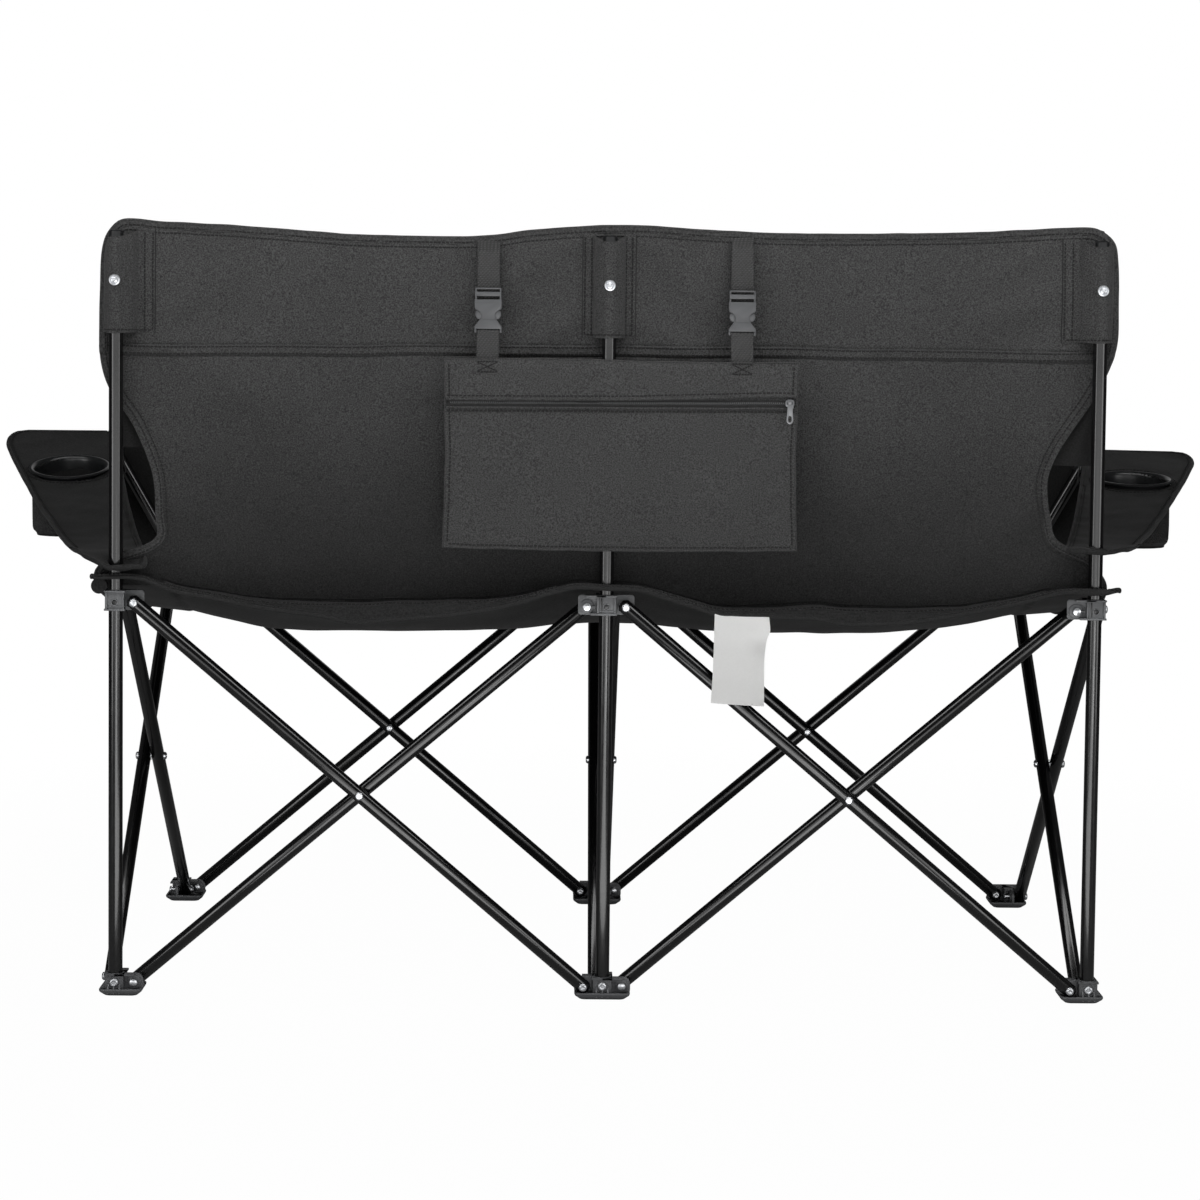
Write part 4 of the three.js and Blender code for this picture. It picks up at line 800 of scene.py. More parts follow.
def back_point(x, z, proud=0.0):
    over_bag = BAG_X - BAG_HALF - 8 < x < BAG_X + BAG_HALF + 8 and BAG_LOW - 8 < z < BAG_HIGH + 8
    return Vector((x, BACK_REAR - 1.2 + min(back_lift(x, z), -0.6 if over_bag else 1.6) + proud, z))


def back_edge_path(inset):
    """Up one side of the back, along its top and down the other, a given distance in from the edge."""
    left, right = ([Vector((side * back_half_width(z, side), z)) for z in spread(BACK_LOW, SIDE_TOP, 120)]
                   for side in (1, -1))
    rim = left + [Vector((x, back_top_at(x))) for x in spread(POST_SPACING, -POST_SPACING, 300)] + right[::-1]
    for _ in range(5):
        rim = [rim[0]] + [(a + b * 2 + c) / 4 for a, b, c in zip(rim, rim[1:], rim[2:])] + [rim[-1]]
    path = []
    for before, here, after in zip([rim[0]] + rim[:-1], rim, rim[1:] + [rim[-1]]):
        along = (after - before).normalized()
        path.append(here + Vector((-along.y, along.x)) * inset)
    return path


def ribbon(form, inset, width, thick):
    """A tape laid on the back along its edge."""
    points = [back_point(p.x, p.y, 0.2) for p in back_edge_path(inset)]

    def section(i, point):
        along = (points[min(i + 1, len(points) - 1)] - points[max(i - 1, 0)]).normalized()
        side = REARWARD.cross(along).normalized() * width / 2
        over = REARWARD * thick
        return [point - side, point - side * 0.85 + over, point + side * 0.85 + over, point + side,
                point - REARWARD * (thick + 1.4)]

    form.strip(points, section)


def back_panel():
    """The cloth of the back, its bound edge and its rows of stitches."""
    form = Form()

    def point_at(u, v):
        flat, v = 2 * u - 1, between(SEAM_ROWS, v)
        z = BACK_LOW + (BACK_TOP - BACK_LOW) * v
        for _ in range(2):
            x = flat * (back_half_width(z, flat) - 2)
            low = min(hem_high_at(x) - 2.0, 466.0)
            z = low + (back_top_at(x) - 2 - low) * v
        return back_point(x, z)

    form.grid(320, 170, point_at)
    panel = form.made("back_cloth", [BACK_CLOTH], thick=1.1)
    settle_on_back(panel, ["back_panel"])

    tape = Form()
    ribbon(tape, inset=4.6, width=9.5, thick=0.9)
    ribbon(tape, inset=1.0, width=2.4, thick=1.5)
    settle_on_back(tape.made("back_edge_binding", [BINDING]))

    sewn = Form()
    for inset, proud in ((6.8, 1.3), (12.6, 0.9)):
        stitches(sewn, [back_point(p.x, p.y, proud) for p in back_edge_path(inset)])
    for shift in (-3.6, 4.0):
        stitches(sewn, [back_point(x, seam_at(x) + shift, 0.9) for x in spread(-572, 572, 300)
                        if abs(x) < back_half_width(seam_at(x) + shift, x) - 4])
    stitches(sewn, [back_point(x, hem_high_at(x) + 4.5, 0.9) for x in spread(-505, 505, 260)])
    settle_on_back(sewn.made("back_stitching", [THREAD]))


def side_wing(column):
    """The loose side of the back, gathered forward of its edge between the seam and the arm rest."""
    side = SIDE_OF[column]
    low, high = {"left": 622, "right": 612}[column], 708

    def point_at(u, v):
        z = low + (high - low) * v
        near = back_half_width(z, side) - 10
        far = max(near + 4, 566 - 6 * math.sin(math.pi * v) + 2 * crumple(z, side, 18, 51.0))
        x = near + (far - near) * u
        y = BACK_REAR - 9 - 3.5 * math.sin(u * 8 + 1.5 * crumple(x, z, 30, 52.0)) - 5 * u
        return Vector((side * x, y, z))

    form = Form()
    form.grid(24, 30, point_at)
    # Drawn in the darker cloth: painted shade behind the back's edge
    wing = form.made(f"{column}_back_wing", [SHADE_PAINTED_CLOTH], thick=1.0)
    settle_on_back(wing)


# Each sleeve's flaps either side of its post's axis, and the half widths of its tunnel
SLEEVES = {"left": (-41.5, 16.5, 24.0, 16.0), "centre": (-29.0, 30.0, 19.0, 19.0), "right": (-16.5, 41.5, 16.0, 24.0)}
SLEEVE_LOW, SLEEVE_HIGH, MOUTH_DIP = 752.0, 868.5, 10.0


def sleeve(column):
    """Cloth wrapped loosely round the top of a post and sewn flat on each side."""
    x0 = COLUMN_X[column]
    low, high, toward_low, toward_high = SLEEVES[column]
    seed = x0 / 100
    wrap = TUBE_RADIUS + 1.3

    def rise(x, z):
        """How far the sleeve stands off the back at a distance from the post's axis."""
        half = toward_low if x < 0 else toward_high
        depth = ROW - BACK_REAR + 1.0
        reach = math.hypot(half, depth)
        turn = math.atan2(-depth, half) + math.acos(wrap / reach)
        at, crown = wrap * math.cos(turn), wrap * math.sin(turn) + depth
        off = abs(x)
        if off < at:
            return depth + math.sqrt(wrap * wrap - off * off)
        if off > half:
            return 0.0
        share = (off - at) / (half - at)
        crease = 0.4 + crumple(x * 1.6, z, 24, seed) + 0.6 * crumple(x * 3, z, 11, seed + 5)
        slack = 1.5 * math.sin(math.pi * share) * crease
        return crown * (1 - share) + slack

    def place(x, z, proud=0.0):
        lift = rise(x, z)
        base = back_point(x0 + x, z, 0.9 + proud)
        stands = smooth(0.0, 6.0, lift)
        return Vector((base.x, base.y * (1 - stands) + (BACK_REAR + lift + proud) * stands, z))

    def point_at(u, v):
        x = low + (high - low) * u
        edge = back_half_width(SLEEVE_LOW + (SLEEVE_HIGH - SLEEVE_LOW) * v, x0) - 5 - POST_SPACING
        if column != "centre":
            x = min(x, edge) if x0 > 0 else max(x, -edge)
        half = toward_low if x < 0 else toward_high
        dip = MOUTH_DIP * max(0.0, math.cos(min(abs(x) / half, 1.0) * math.pi / 2)) ** 0.7
        bottom = SLEEVE_LOW + 0.8 * crumple(x, 0, 12, seed + 2) - 1.5 * math.exp(-(x / 14) ** 2)
        return place(x, bottom + (SLEEVE_HIGH - dip * smooth(0.6, 1.0, v) - bottom) * v)

    form = Form()
    form.grid(64, 60, point_at)
    piece = form.made(f"{column}_post_sleeve", [BACK_CLOTH], thick=0.9)
    settle_on_back(piece)
    sewn = Form()
    rows = {"left": (low + 2.0, low + 11.0), "centre": (low + 3.5, low + 10.5, high - 9.5, high - 2.0),
            "right": (high - 2.0, high - 11.0)}[column]
    for x in rows:
        stitches(sewn, [place(x, z, 0.9) for z in spread(SLEEVE_LOW + 1, SLEEVE_HIGH - 2, 40)])
    stitches(sewn, [place(x, SLEEVE_LOW + 2.6, 0.9) for x in spread(low + 2, high - 2, 40)])
    # Painted shadow: a dark cord of thread colour along each flap's outer edge
    for x in {"left": (low - 0.5,), "centre": (low - 0.5, high + 0.5), "right": (high + 0.5,)}[column]:
        edge_shadow_cord = [place(x, z) for z in spread(SLEEVE_LOW - 1, SLEEVE_HIGH - 1, 40)]
        sewn.strip(edge_shadow_cord, lambda i, p: oval(p, RIGHTWARD, 0.6, REARWARD, 0.7, 6))
    settle_on_back(sewn.made(f"{column}_sleeve_stitches_and_edge_shadow", [THREAD]))


# ---- Storage bag sizes, which the back behind it also reads ----
BAG_X, BAG_HALF, BAG_LOW, BAG_HIGH = -14.0, 200.0, 512.0, 727.0
BAG_FRONT = ROW + TUBE_RADIUS + 0.9
ZIP_HEIGHT, ZIP_HALF = 678.0, 196.0

back_panel()
for column in COLUMN_X:
    sleeve(column)
for column in SIDE_OF:
    side_wing(column)


# ---- Seat ----
SEAT_TOP = HUB_PIVOT + 14.4 + 2.0
SEAT_END = ROW + 18.0
# How deep the seat hangs halfway between its rows of hubs, from the right end to the left
SEAT_SAG = [(-580, 40), (-495, 47), (-440, 55), (-385, 60), (-300, 64.5), (-190, 64), (-80, 63), (0, 61), (105, 66),
            (190, 68.7), (350, 69), (410, 65.5), (495, 52), (580, 42)]


def seat_half(y):
    """Half the seat's width: its sides pull in halfway between the rows."""
    depth = min(abs(y) / ROW, 1.0)
    return POST_SPACING + 24.6 - 25 * math.cos(depth * math.pi / 2)


def seat_height(x, y):
    """The sling: held at the hubs, sagging between the rows, with wrinkles, and pleats by its hems."""
    wave = math.sin(math.pi * free_share(ROW - abs(y)))
    wrinkle = 2.0 * crumple(x, y, 120, 11.3) + 0.8 * crumple(x, y, 40, 12.9)
    rest = smooth(20, 70, math.hypot(abs(x) - POST_SPACING * round(abs(x) / POST_SPACING), abs(y) - ROW))
    pleat = 1.4 * math.sin(x / 9 + 2 * crumple(x, y, 50, 2.5)) * math.exp(-abs(abs(y) - SEAT_END + 14) / 26) * dip_at(x)
    near_edge = smooth(ROW - 60, SEAT_END, abs(y))
    lifted = near_edge if dip_at(x) < 0.02 else max(near_edge, 1 - 0.7 * wave)
    rim = SEAT_TOP + (hem_high_at(x) + 1.0 - SEAT_TOP) * lifted
    return rim - between(SEAT_SAG, x) * wave ** 1.3 + (wrinkle + pleat) * rest * (1 - 0.7 * near_edge)


def seat_half_panel(row):
    """One half of the seat, from its middle fold to its hem, with its rolled edges and stitches."""
    sign = 1 if row == "rear" else -1
    body = f"seat_{row}"
    gather = ("seat_rear_fold" if row == "rear" else "seat_middle_fold", (1, 0, 0), (0, 0, 0))
    flat_share, turn_depth = 0.93, 2.5

    def point_at(u, v):
        x = (2 * u - 1) * (seat_half(sign * SEAT_END * min(v / flat_share, 1)) - 1)
        y = (SEAT_END - turn_depth) * min(v / flat_share, 1)
        z = seat_height(x, y)
        if v > flat_share:
            turn = (v - flat_share) / (1 - flat_share)
            y += turn_depth * math.sin(turn * math.pi / 2)
            z += (hem_low_at(x) - z) * turn ** 1.6
        return Vector((x, sign * y, z))

    form = Form()
    posts = [Vector((x, sign * ROW)) for x in COLUMN_X.values()]

    def clear(a, b):
        """The cloth is cut out round the rear posts, and round the leaning arm posts in front."""
        middle = (Vector(a) + Vector(b)) / 2
        if row == "rear":
            return all((middle.xy - post).length > 9.0 for post in posts)
        return all((middle.xy - post - Vector((math.copysign(6, post.x), 0))).length > 12.5
                   for post in posts if abs(post.x) > 1)

    form.grid(240, 72, point_at, keep=clear)
    panel = form.made(f"seat_{row}_cloth", [SEAT_CLOTH], thick=1.6)
    settle(panel, body, [f"seat_{row}_panel"], gather)

    hem = Form()
    reach = seat_half(SEAT_END) + 1

    def hem_line(out, drop):
        return [Vector((x, sign * (SEAT_END + out), hem_low_at(x) + drop)) for x in spread(-reach, reach, 280)]

    def hem_roll(i, p):
        """Fuller at the right end than at the left, and thinner at its tips."""
        fuller = (1.0 if p.x < 0 else -0.6) * smooth(500, 545, abs(p.x))
        return oval(p, REARWARD * sign, 1.8, UP, (2.6 + fuller) * (1.05 - smooth(560, reach, abs(p.x))), 10)

    hem.strip(hem_line(0.3, 0.6), hem_roll)
    for side in (-1, 1):
        rim = [Vector((side * seat_half(y), y, seat_height(side * seat_half(y), y) - 0.5))
               for y in spread(0, sign * SEAT_END, 60)]
        hem.strip(rim, lambda i, p: oval(p, RIGHTWARD, 2.0, UP, 3.2, 10))
    if row == "rear":
        lobe = [(-1.5, 0.0), (-1.5, 7.5), (-0.8, 9.0), (0.8, 9.0), (1.5, 7.5), (1.5, 0.0)]
        hem.turned(lobe, (571.5, SEAT_END - 9, 466.5), REARWARD, 24)
    settle(hem.made(f"seat_{row}_hem", [HEM_EDGE]), body, squash=gather)

    sewn = Form()
    stitches(sewn, hem_line(0.9, 4.2))
    for inset in (9, 15):
        y = SEAT_END - inset
        stitches(sewn, [Vector((x, sign * y, seat_height(x, y) + 1.1)) for x in spread(-560, 560, 220)])
    for x in (-5, 5):
        stitches(sewn, [Vector((x, y, seat_height(x, y) + 1.1))
                        for y in spread(sign * 4, sign * (SEAT_END - 16), 60)])
    settle(sewn.made(f"seat_{row}_stitching", [THREAD]), body, squash=gather)


seat_half_panel("rear")
seat_half_panel("front")


# ---- Arm rests and cup holders ----
ARM_PAST_ROW = 23.0
ARM_FRONT = -ROW - ARM_PAST_ROW
ARM_REAR = ROW + ARM_PAST_ROW
# How far out from the posts' line its inner and outer edges lie, at the front and at the rear
ARM_INNER, ARM_OUTER = (93, -39), (243, 26)
CUP_Y = ARM_FRONT + 140.0
CUP_X = POST_SPACING + 128.0
CUP_RADIUS, CUP_DEPTH = 47.0, 80.0
# Rings that the cloth's mesh follows: centre, where it starts and ends to be drawn in, and its radius
CUP_MOUTH = ((CUP_X, CUP_Y), 43, 51, 47.5)
POST_EYELET = ((POST_SPACING, ROW), 6.5, 12, 9.5)


# The right arm rest sits flatter than the left: rear height, front height and tilt of the cup's collar
ARM_HEIGHTS = {1: (499.0, 616.0, math.radians(14.0)), -1: (515.5, 604.0, math.radians(7.5))}


def arm_height(y, side):
    """It rises forward, steeper toward the front."""
    depth = min(max((y - ARM_FRONT) / (ARM_REAR - ARM_FRONT), 0.0), 1.0)
    rear, front, _ = ARM_HEIGHTS[side]
    return rear + (front - rear) * (1 - depth) ** 1.75


def arm_span(v):
    """The inner and outer edge from front to rear, rounded at the four corners."""
    corner = math.sqrt(max(0.0, 1 - (1 - min(1.0, v / 0.10)) ** 2))
    tail = math.sqrt(max(0.0, 1 - (1 - min(1.0, (1 - v) / 0.07)) ** 2))
    inner, outer = (front + (rear - front) * v for front, rear in (ARM_INNER, ARM_OUTER))
    inner += 12 * (1 - corner) + 7 * (1 - tail)
    outer -= 36 * (1 - corner) + 22 * (1 - tail)
    return inner, max(outer, inner + 4)


def arm_rest(column):
    """The arm's cloth with its bound edge, eyelet, stitches and tongue, and its cup holder."""
    side = SIDE_OF[column]
    along = ("top_rear_" + column, (0, 1, 0), (0, ROW * MM, 0))
    body = f"rear_{column}_hub"

    def height(x, y):
        off = math.hypot(x - CUP_X, y - CUP_Y)
        wrinkle = 2.0 * crumple(x, y, 70, 21.5 + side) + 0.8 * crumple(x, y, 25, 22.5)
        wrinkle *= smooth(50, 75, off)
        run = smooth(ARM_FRONT, 0, y) * (1 - smooth(120, ARM_REAR - 20, y))
        trough = -5 * math.exp(-((x - POST_SPACING - 40) / 60) ** 2) * run
        near_post = math.exp(-(math.hypot(x - POST_SPACING, y - ROW) / 26) ** 2)
        rear = smooth(ARM_REAR - 70, ARM_REAR, y)
        inside = 1 - smooth(POST_SPACING - 5, POST_SPACING + 45, x)
        hem = rear * (2.0 * math.sin(x / 9 + side) + (-7 * near_post - 11 * inside if side > 0 else 2 * near_post))
        return arm_height(y, side) + 2.2 + wrinkle * smooth(0, 40, ARM_REAR - y) + trough + hem

    def point_at(u, v):
        y = ARM_FRONT + (ARM_REAR - ARM_FRONT) * v
        inner, outer = arm_span(v)
        x = POST_SPACING + inner + (outer - inner) * u
        for centre, low, high, at in (CUP_MOUTH, POST_EYELET):
            off = Vector((x - centre[0], y - centre[1]))
            if low < off.length < high:
                off = off.normalized() * at
                x, y = centre[0] + off.x, centre[1] + off.y
        return Vector((side * x, y, height(x, y)))

    def clear(a, b):
        middle = (Vector(a) + Vector(b)) / 2
        x, y = abs(middle.x), middle.y
        return math.hypot(x - CUP_X, y - CUP_Y) > CUP_RADIUS and math.hypot(x - POST_SPACING, y - ROW) > 9.2

    form = Form()
    form.grid(56, 190, point_at, keep=clear)
    panel = form.made(f"{column}_arm_cloth", [SEAT_CLOTH], thick=1.5)
    settle(panel, body, [f"{column}_arm_panel"], along)

    rim = [(arm_span(v)[1], v) for v in spread(0, 1, 100)] + [(arm_span(v)[0], v) for v in spread(1, 0, 100)]
    rim = [(POST_SPACING + x, ARM_FRONT + (ARM_REAR - ARM_FRONT) * v) for x, v in rim]
    edge = [Vector((side * x, y, height(x, y) - 0.6)) for x, y in rim]
    edge.append(edge[0])

    def rolled(i, point):
        ahead = edge[(i + 1) % len(edge)] - edge[i - 1]
        out = (ahead if ahead.length > 1e-6 else REARWARD).cross(UP).normalized()
        return oval(point, out, 2.3, UP, 3.0, 10)

    def circle(centre, radius, steps, proud):
        """A ring lying on the cloth."""
        places = ((centre[0] + radius * math.cos(a), centre[1] + radius * math.sin(a))
                  for a in spread(0, math.tau, steps))
        return [Vector((side * x, y, height(x, y) + proud)) for x, y in places]

    tape = Form()
    tape.strip(edge, rolled, closed=True)
    post = Vector((side * POST_SPACING, ROW))
    tape.strip(circle(POST_EYELET[0], 10.6, 40, 0.6),
               lambda i, p: oval(p, (p.xy - post).to_3d().normalized(), 2.0, UP, 1.7), closed=True)
    settle(tape.made(f"{column}_arm_binding", [HEM_EDGE]), body, squash=along)
    sewn = Form()
    stitches(sewn, [p + (Vector((side * (POST_SPACING + 60), p.y, p.z)) - p).normalized() * 5.5 + UP * 2.0
                    for p in edge])
    stitches(sewn, circle(CUP_MOUTH[0], 55, 90, 1.2))
    settle(sewn.made(f"{column}_arm_stitching", [THREAD]), body, squash=along)

    rise = arm_height(ARM_FRONT + 11.5, side) - 3 - SEAT_TOP

    def tongue_at(u, v):
        near, far = POST_SPACING - 20 + 54 * v, POST_SPACING + 62 + 78 * v
        x = near + (far - near) * u
        z = SEAT_TOP - 1 + rise * v
        ripple = 2.0 * crumple(x, z, 34, 61.0) + 1.5 * math.sin(u * 7 + v * 2)
        return Vector((side * x, ARM_FRONT + 10.5 + ripple, z))

    tongue = Form()
    tongue.grid(16, 40, tongue_at)
    for u in (0.0, 1.0):
        edge = [tongue_at(u, v) for v in spread(0, 1, 40)]
        tongue.strip(edge, lambda i, p: oval(p, RIGHTWARD, 1.4, REARWARD, 1.4), slot=1)
    # The tongue's sheet is the darker cloth, painted shade in the gap between seat and arm rest; its edges are the
    # plain black cloth
    gusset = tongue.made(f"{column}_arm_tongue", [SHADE_PAINTED_CLOTH, SEAT_CLOTH])
    settle(gusset, body, squash=along)
    cup_ring(column, side)
    cup_net(column, side)


def settle_on_cup(piece, column, nodes=()):
    """A cup rides the front hub of its column."""
    gather = ("top_rear_" + column, (0, 1, 0), (0, -ROW * MM, 0))
    settle(piece, f"front_{column}_hub", nodes, gather)


def cup_ring(column, side):
    """The moulded collar: a flanged lip over the cloth, a funnel and a smooth inner wall."""
    tilt = Matrix.Rotation(-ARM_HEIGHTS[side][2], 3, "X") @ UP
    centre = Vector((side * CUP_X, CUP_Y, arm_height(CUP_Y, side) + 4.4))
    lip = [(-15.5, 43.0), (-15.5, 44.6), (-2.0, 45.4), (-0.4, 45.8), (0.1, 50.4), (0.8, 51.4), (1.9, 51.5), (2.9, 50.6),
           (3.5, 48.8), (3.2, 47.0), (1.6, 45.4), (-0.6, 44.4), (-3.0, 43.9), (-15.5, 43.0)]
    ring = Form()
    ring.turned(lip, centre, tilt, 84)
    settle_on_cup(ring.made(f"{column}_cup_ring", [CUP_PLASTIC]), column, [f"{column}_cup_rim"])


def cup_net(column, side):
    """The hanging pocket: knitted net under a cloth band, with a round floor, and a dark sheet behind the net's far
    half and floor as painted shade.
    """
    top, bottom = arm_height(CUP_Y, side) - 1.0, arm_height(CUP_Y, side) - CUP_DEPTH
    centre = Vector((side * CUP_X, CUP_Y, 0))

    def wall(angle, share, inset=0.0):
        corner = smooth(0.86, 1.0, share)
        dent = crumple(math.cos(angle) * 3, share * 3 + math.sin(angle) * 3, 1.5, 3.3)
        radius = CUP_RADIUS - inset - 1.2 * share + 1.4 * dent * share - 6 * corner * corner
        lean = -math.tan(ARM_HEIGHTS[side][2]) * radius * math.sin(angle) * (1 - share)
        height = top + (bottom - top) * share + lean
        return centre + Vector((radius * math.cos(angle), radius * math.sin(angle), height))

    net = Form()
    strands, rows, strand = 78, 24, 0.95
    for way in (-1, 1):
        for s in range(strands):
            path = [wall(math.tau * (s + way * k * 0.72) / strands, k / rows) for k in range(rows + 1)]
            net.strip(path, lambda i, p: [p + Vector((math.cos(a), math.sin(a), math.sin(a))) * strand
                                          for a in (0, math.tau / 3, 2 * math.tau / 3)], closed=True)
    floor = CUP_RADIUS - 7
    for k in range(-9, 10):
        offset = floor * k / 9.5
        reach = math.sqrt(floor * floor - offset ** 2)
        for along, across in ((REARWARD, RIGHTWARD), (RIGHTWARD, REARWARD)):
            path = [centre + across * offset + along * at + UP * (bottom + 0.6) for at in spread(-reach, reach, 6)]
            net.strip(path, lambda i, p: oval(p, across, 0.9, UP, 0.9, 4), closed=True)
    settle_on_cup(net.made(f"{column}_cup_net", [NET]), column, [f"{column}_cup_pocket"])

    band = Form()
    for share, width in ((0.045, 5.0), (0.985, 1.8)):
        loop = [wall(angle, share, -0.6) for angle in spread(0, math.tau, 72)]
        band.strip(loop, lambda i, p: oval(p, (p.xy - centre.xy).to_3d().normalized(), 1.1, UP, width), closed=True)
    # Painted shade: a dark sheet behind the net's far half, and one over its floor, so the pocket reads dark inside
    band.grid(48, 16, lambda u, v: wall(math.pi * (0.88 + 1.24 * u), v, 1.6))
    disc = floor * 0.7
    band.grid(24, 24, lambda u, v: centre + Vector(((2 * u - 1) * disc, (2 * v - 1) * disc, bottom + 1.6)))
    painted_shade_sheet = band.made(f"{column}_cup_bands_and_painted_shade", [SHADE_PAINTED_CLOTH])
    settle_on_cup(painted_shade_sheet, column)


for column in SIDE_OF:
    arm_rest(column)


# ---- Storage bag ----
def bag_outline(u, v):
    """A place on the bag, across and up, its edges drawn in and a little uneven."""
    x = BAG_X + (2 * u - 1) * (BAG_HALF - 1.0 - 2.5 * math.sin(math.pi * v) + 1.2 * crumple(u * 3, v * 200, 40, 31.0))
    sag = 2.4 * math.sin(math.pi * u) + 1.5 * crumple(u * 400, 0, 38, 33.0)
    top = BAG_HIGH - 1.5 - 1.0 * math.sin(2 * math.pi * u) + 1.0 * crumple(u * 400, 0, 50, 35.0)
    bottom = BAG_LOW + 2.5 - sag
    return x, bottom + (top - bottom) * v


def zip_at(x):
    """The height that the zip runs at."""
    return ZIP_HEIGHT - 0.4 - 0.006 * (x - BAG_X) + 0.5 * crumple(x, 0, 70, 37.0)


def zip_gape(x):
    """How far above the zip its upper lip lies: it opens toward the slider."""
    return 6.0 + 4.5 * smooth(BAG_X + 40, BAG_X - 200, x)


def bag_face(x, z):
    """The outer face of the bag: slack cloth over the zip, pulled in at its seams."""
    u = (x - BAG_X + BAG_HALF) / (2 * BAG_HALF)
    v = (z - BAG_LOW) / (BAG_HIGH - BAG_LOW)
    edge = min(smooth(0, 0.05, u), smooth(0, 0.05, 1 - u), smooth(0, 0.08, v), smooth(0, 0.05, 1 - v))
    bulge = math.sin(math.pi * min(max(u, 0), 1)) * math.sin(math.pi * min(max(v * 0.9 + 0.03, 0), 1))
    puff = 3.2 * bulge ** 0.5 * edge
    wrinkle = 1.6 * crumple(x, z, 75, 41.0) + 0.7 * crumple(x, z, 26, 43.0)
    wrinkle += 0.7 * math.sin(x / 8 + 3 * crumple(x, z, 60, 44.0)) * math.exp(-max(z - BAG_LOW - 6, 0) / 12)
    from_zip = z - zip_at(x)
    lip = 1.5 * math.exp(-((from_zip - zip_gape(x)) / 2.2) ** 2)
    lip += 1.3 * math.exp(-((from_zip + 5.8) / 2.2) ** 2) - 2.0 * math.exp(-((from_zip - 0.4) / 3.6) ** 2)
    return BAG_FRONT + 3.4 + puff + wrinkle * (0.3 + 0.7 * edge) + lip


def on_bag(x, z, proud=0.35):
    return Vector((x, bag_face(x, z) + proud, z))


def along_zip(away, proud, steps):
    """A line on the bag beside the zip, the distance above it given by away(x)."""
    return [on_bag(x, zip_at(x) + away(x), proud)
            for x in spread(BAG_X - ZIP_HALF, BAG_X + ZIP_HALF, steps)]


def storage_bag():
    """The bag, its stitches, and the lips, tapes and coil of its zip."""
    form = Form()

    def outer(u, v):
        x, z = bag_outline(u, v)
        return Vector((x, bag_face(x, z), z))

    def inner(u, v):
        x, z = bag_outline(1 - u, v)
        return Vector((x, BAG_FRONT + 0.8 + 0.3 * crumple(x, z, 60, 47.0), z))

    form.grid(170, 110, outer)
    form.grid(170, 110, inner)
    rim = [bag_outline(u, 0) for u in spread(0, 1, 100)] + [bag_outline(1, v) for v in spread(0, 1, 60)]
    rim += [bag_outline(u, 1) for u in spread(1, 0, 100)] + [bag_outline(0, v) for v in spread(1, 0, 60)]

    def rolled(i, point):
        out = Vector(((point.x - BAG_X) / BAG_HALF, 0, (point.z - (BAG_LOW + BAG_HIGH) / 2) / 107)).normalized()
        return oval(point, out, 1.2, REARWARD, 1.9)

    form.strip([Vector((x, BAG_FRONT + 2.1, z)) for x, z in rim], rolled, closed=True)
    bag = form.made("rear_bag", [BAG_CLOTH])
    settle_on_back(bag, ["storage_bag"])

    sewn = Form()
    for away in (lambda x: zip_gape(x) + 2.4, lambda x: -8.4):
        stitches(sewn, along_zip(away, 0.5, 160))
    stitches(sewn, [on_bag(*bag_outline(k / 160, 0.018)) for k in range(2, 159)])
    for u in (0.012, 0.988):
        stitches(sewn, [on_bag(*bag_outline(u, k / 90)) for k in range(2, 89)])
    for x0 in STRAPS.values():
        half, low, high = 12.5, BAG_HIGH - 15, BAG_HIGH - 3.5
        corners = [Vector((x0 + x, z)) for x, z in ((-half, low), (half, low), (half, high), (-half, high))]
        for a, b in ((0, 1), (2, 3), (0, 2), (1, 3)):
            line = [corners[a].lerp(corners[b], k / 8) for k in range(9)]
            stitches(sewn, [on_bag(p.x, p.y, 0.5) for p in line], pitch=3.2, length=2.6, radius=0.7)
    settle_on_back(sewn.made("bag_stitching", [THREAD]))

    lips = Form()
    for away in (lambda x: zip_gape(x) - 1.6, lambda x: -4.9):
        lips.strip(along_zip(away, 0.7, 120), lambda i, p: oval(p, REARWARD, 1.1, UP, 1.2))
    settle_on_back(lips.made("bag_zip_lips", [BAG_CLOTH]))

    tape = Form()
    for away in (lambda x: -2.8, lambda x: 2.8):
        tape.strip(along_zip(away, 0.35, 120), lambda i, p: oval(p, REARWARD, 0.4, UP, 2.4))
    settle_on_back(tape.made("bag_zip_tape", [ZIP_TAPE]))
    coil = Form()
    pitch = 2.2
    for k in range(int(384 / pitch)):
        x = BAG_X - 190 + k * pitch
        z, y = zip_at(x), bag_face(x, zip_at(x)) + 0.3
        coil.block((x - 0.6, y - 0.2, z - 2.0), (x + 0.6, y + 1.2, z - 0.1))
        coil.block((x + 0.5, y - 0.2, z + 0.1), (x + 1.7, y + 1.2, z + 2.0))
    settle_on_back(coil.made("bag_zip_coil", [ZIP_COIL]))


# ---- Zip slider and pull ----
# The photograph has them a little nearer the zip's end
ZIP_NUDGE = Vector((-4.0, 0.0, 2.0))


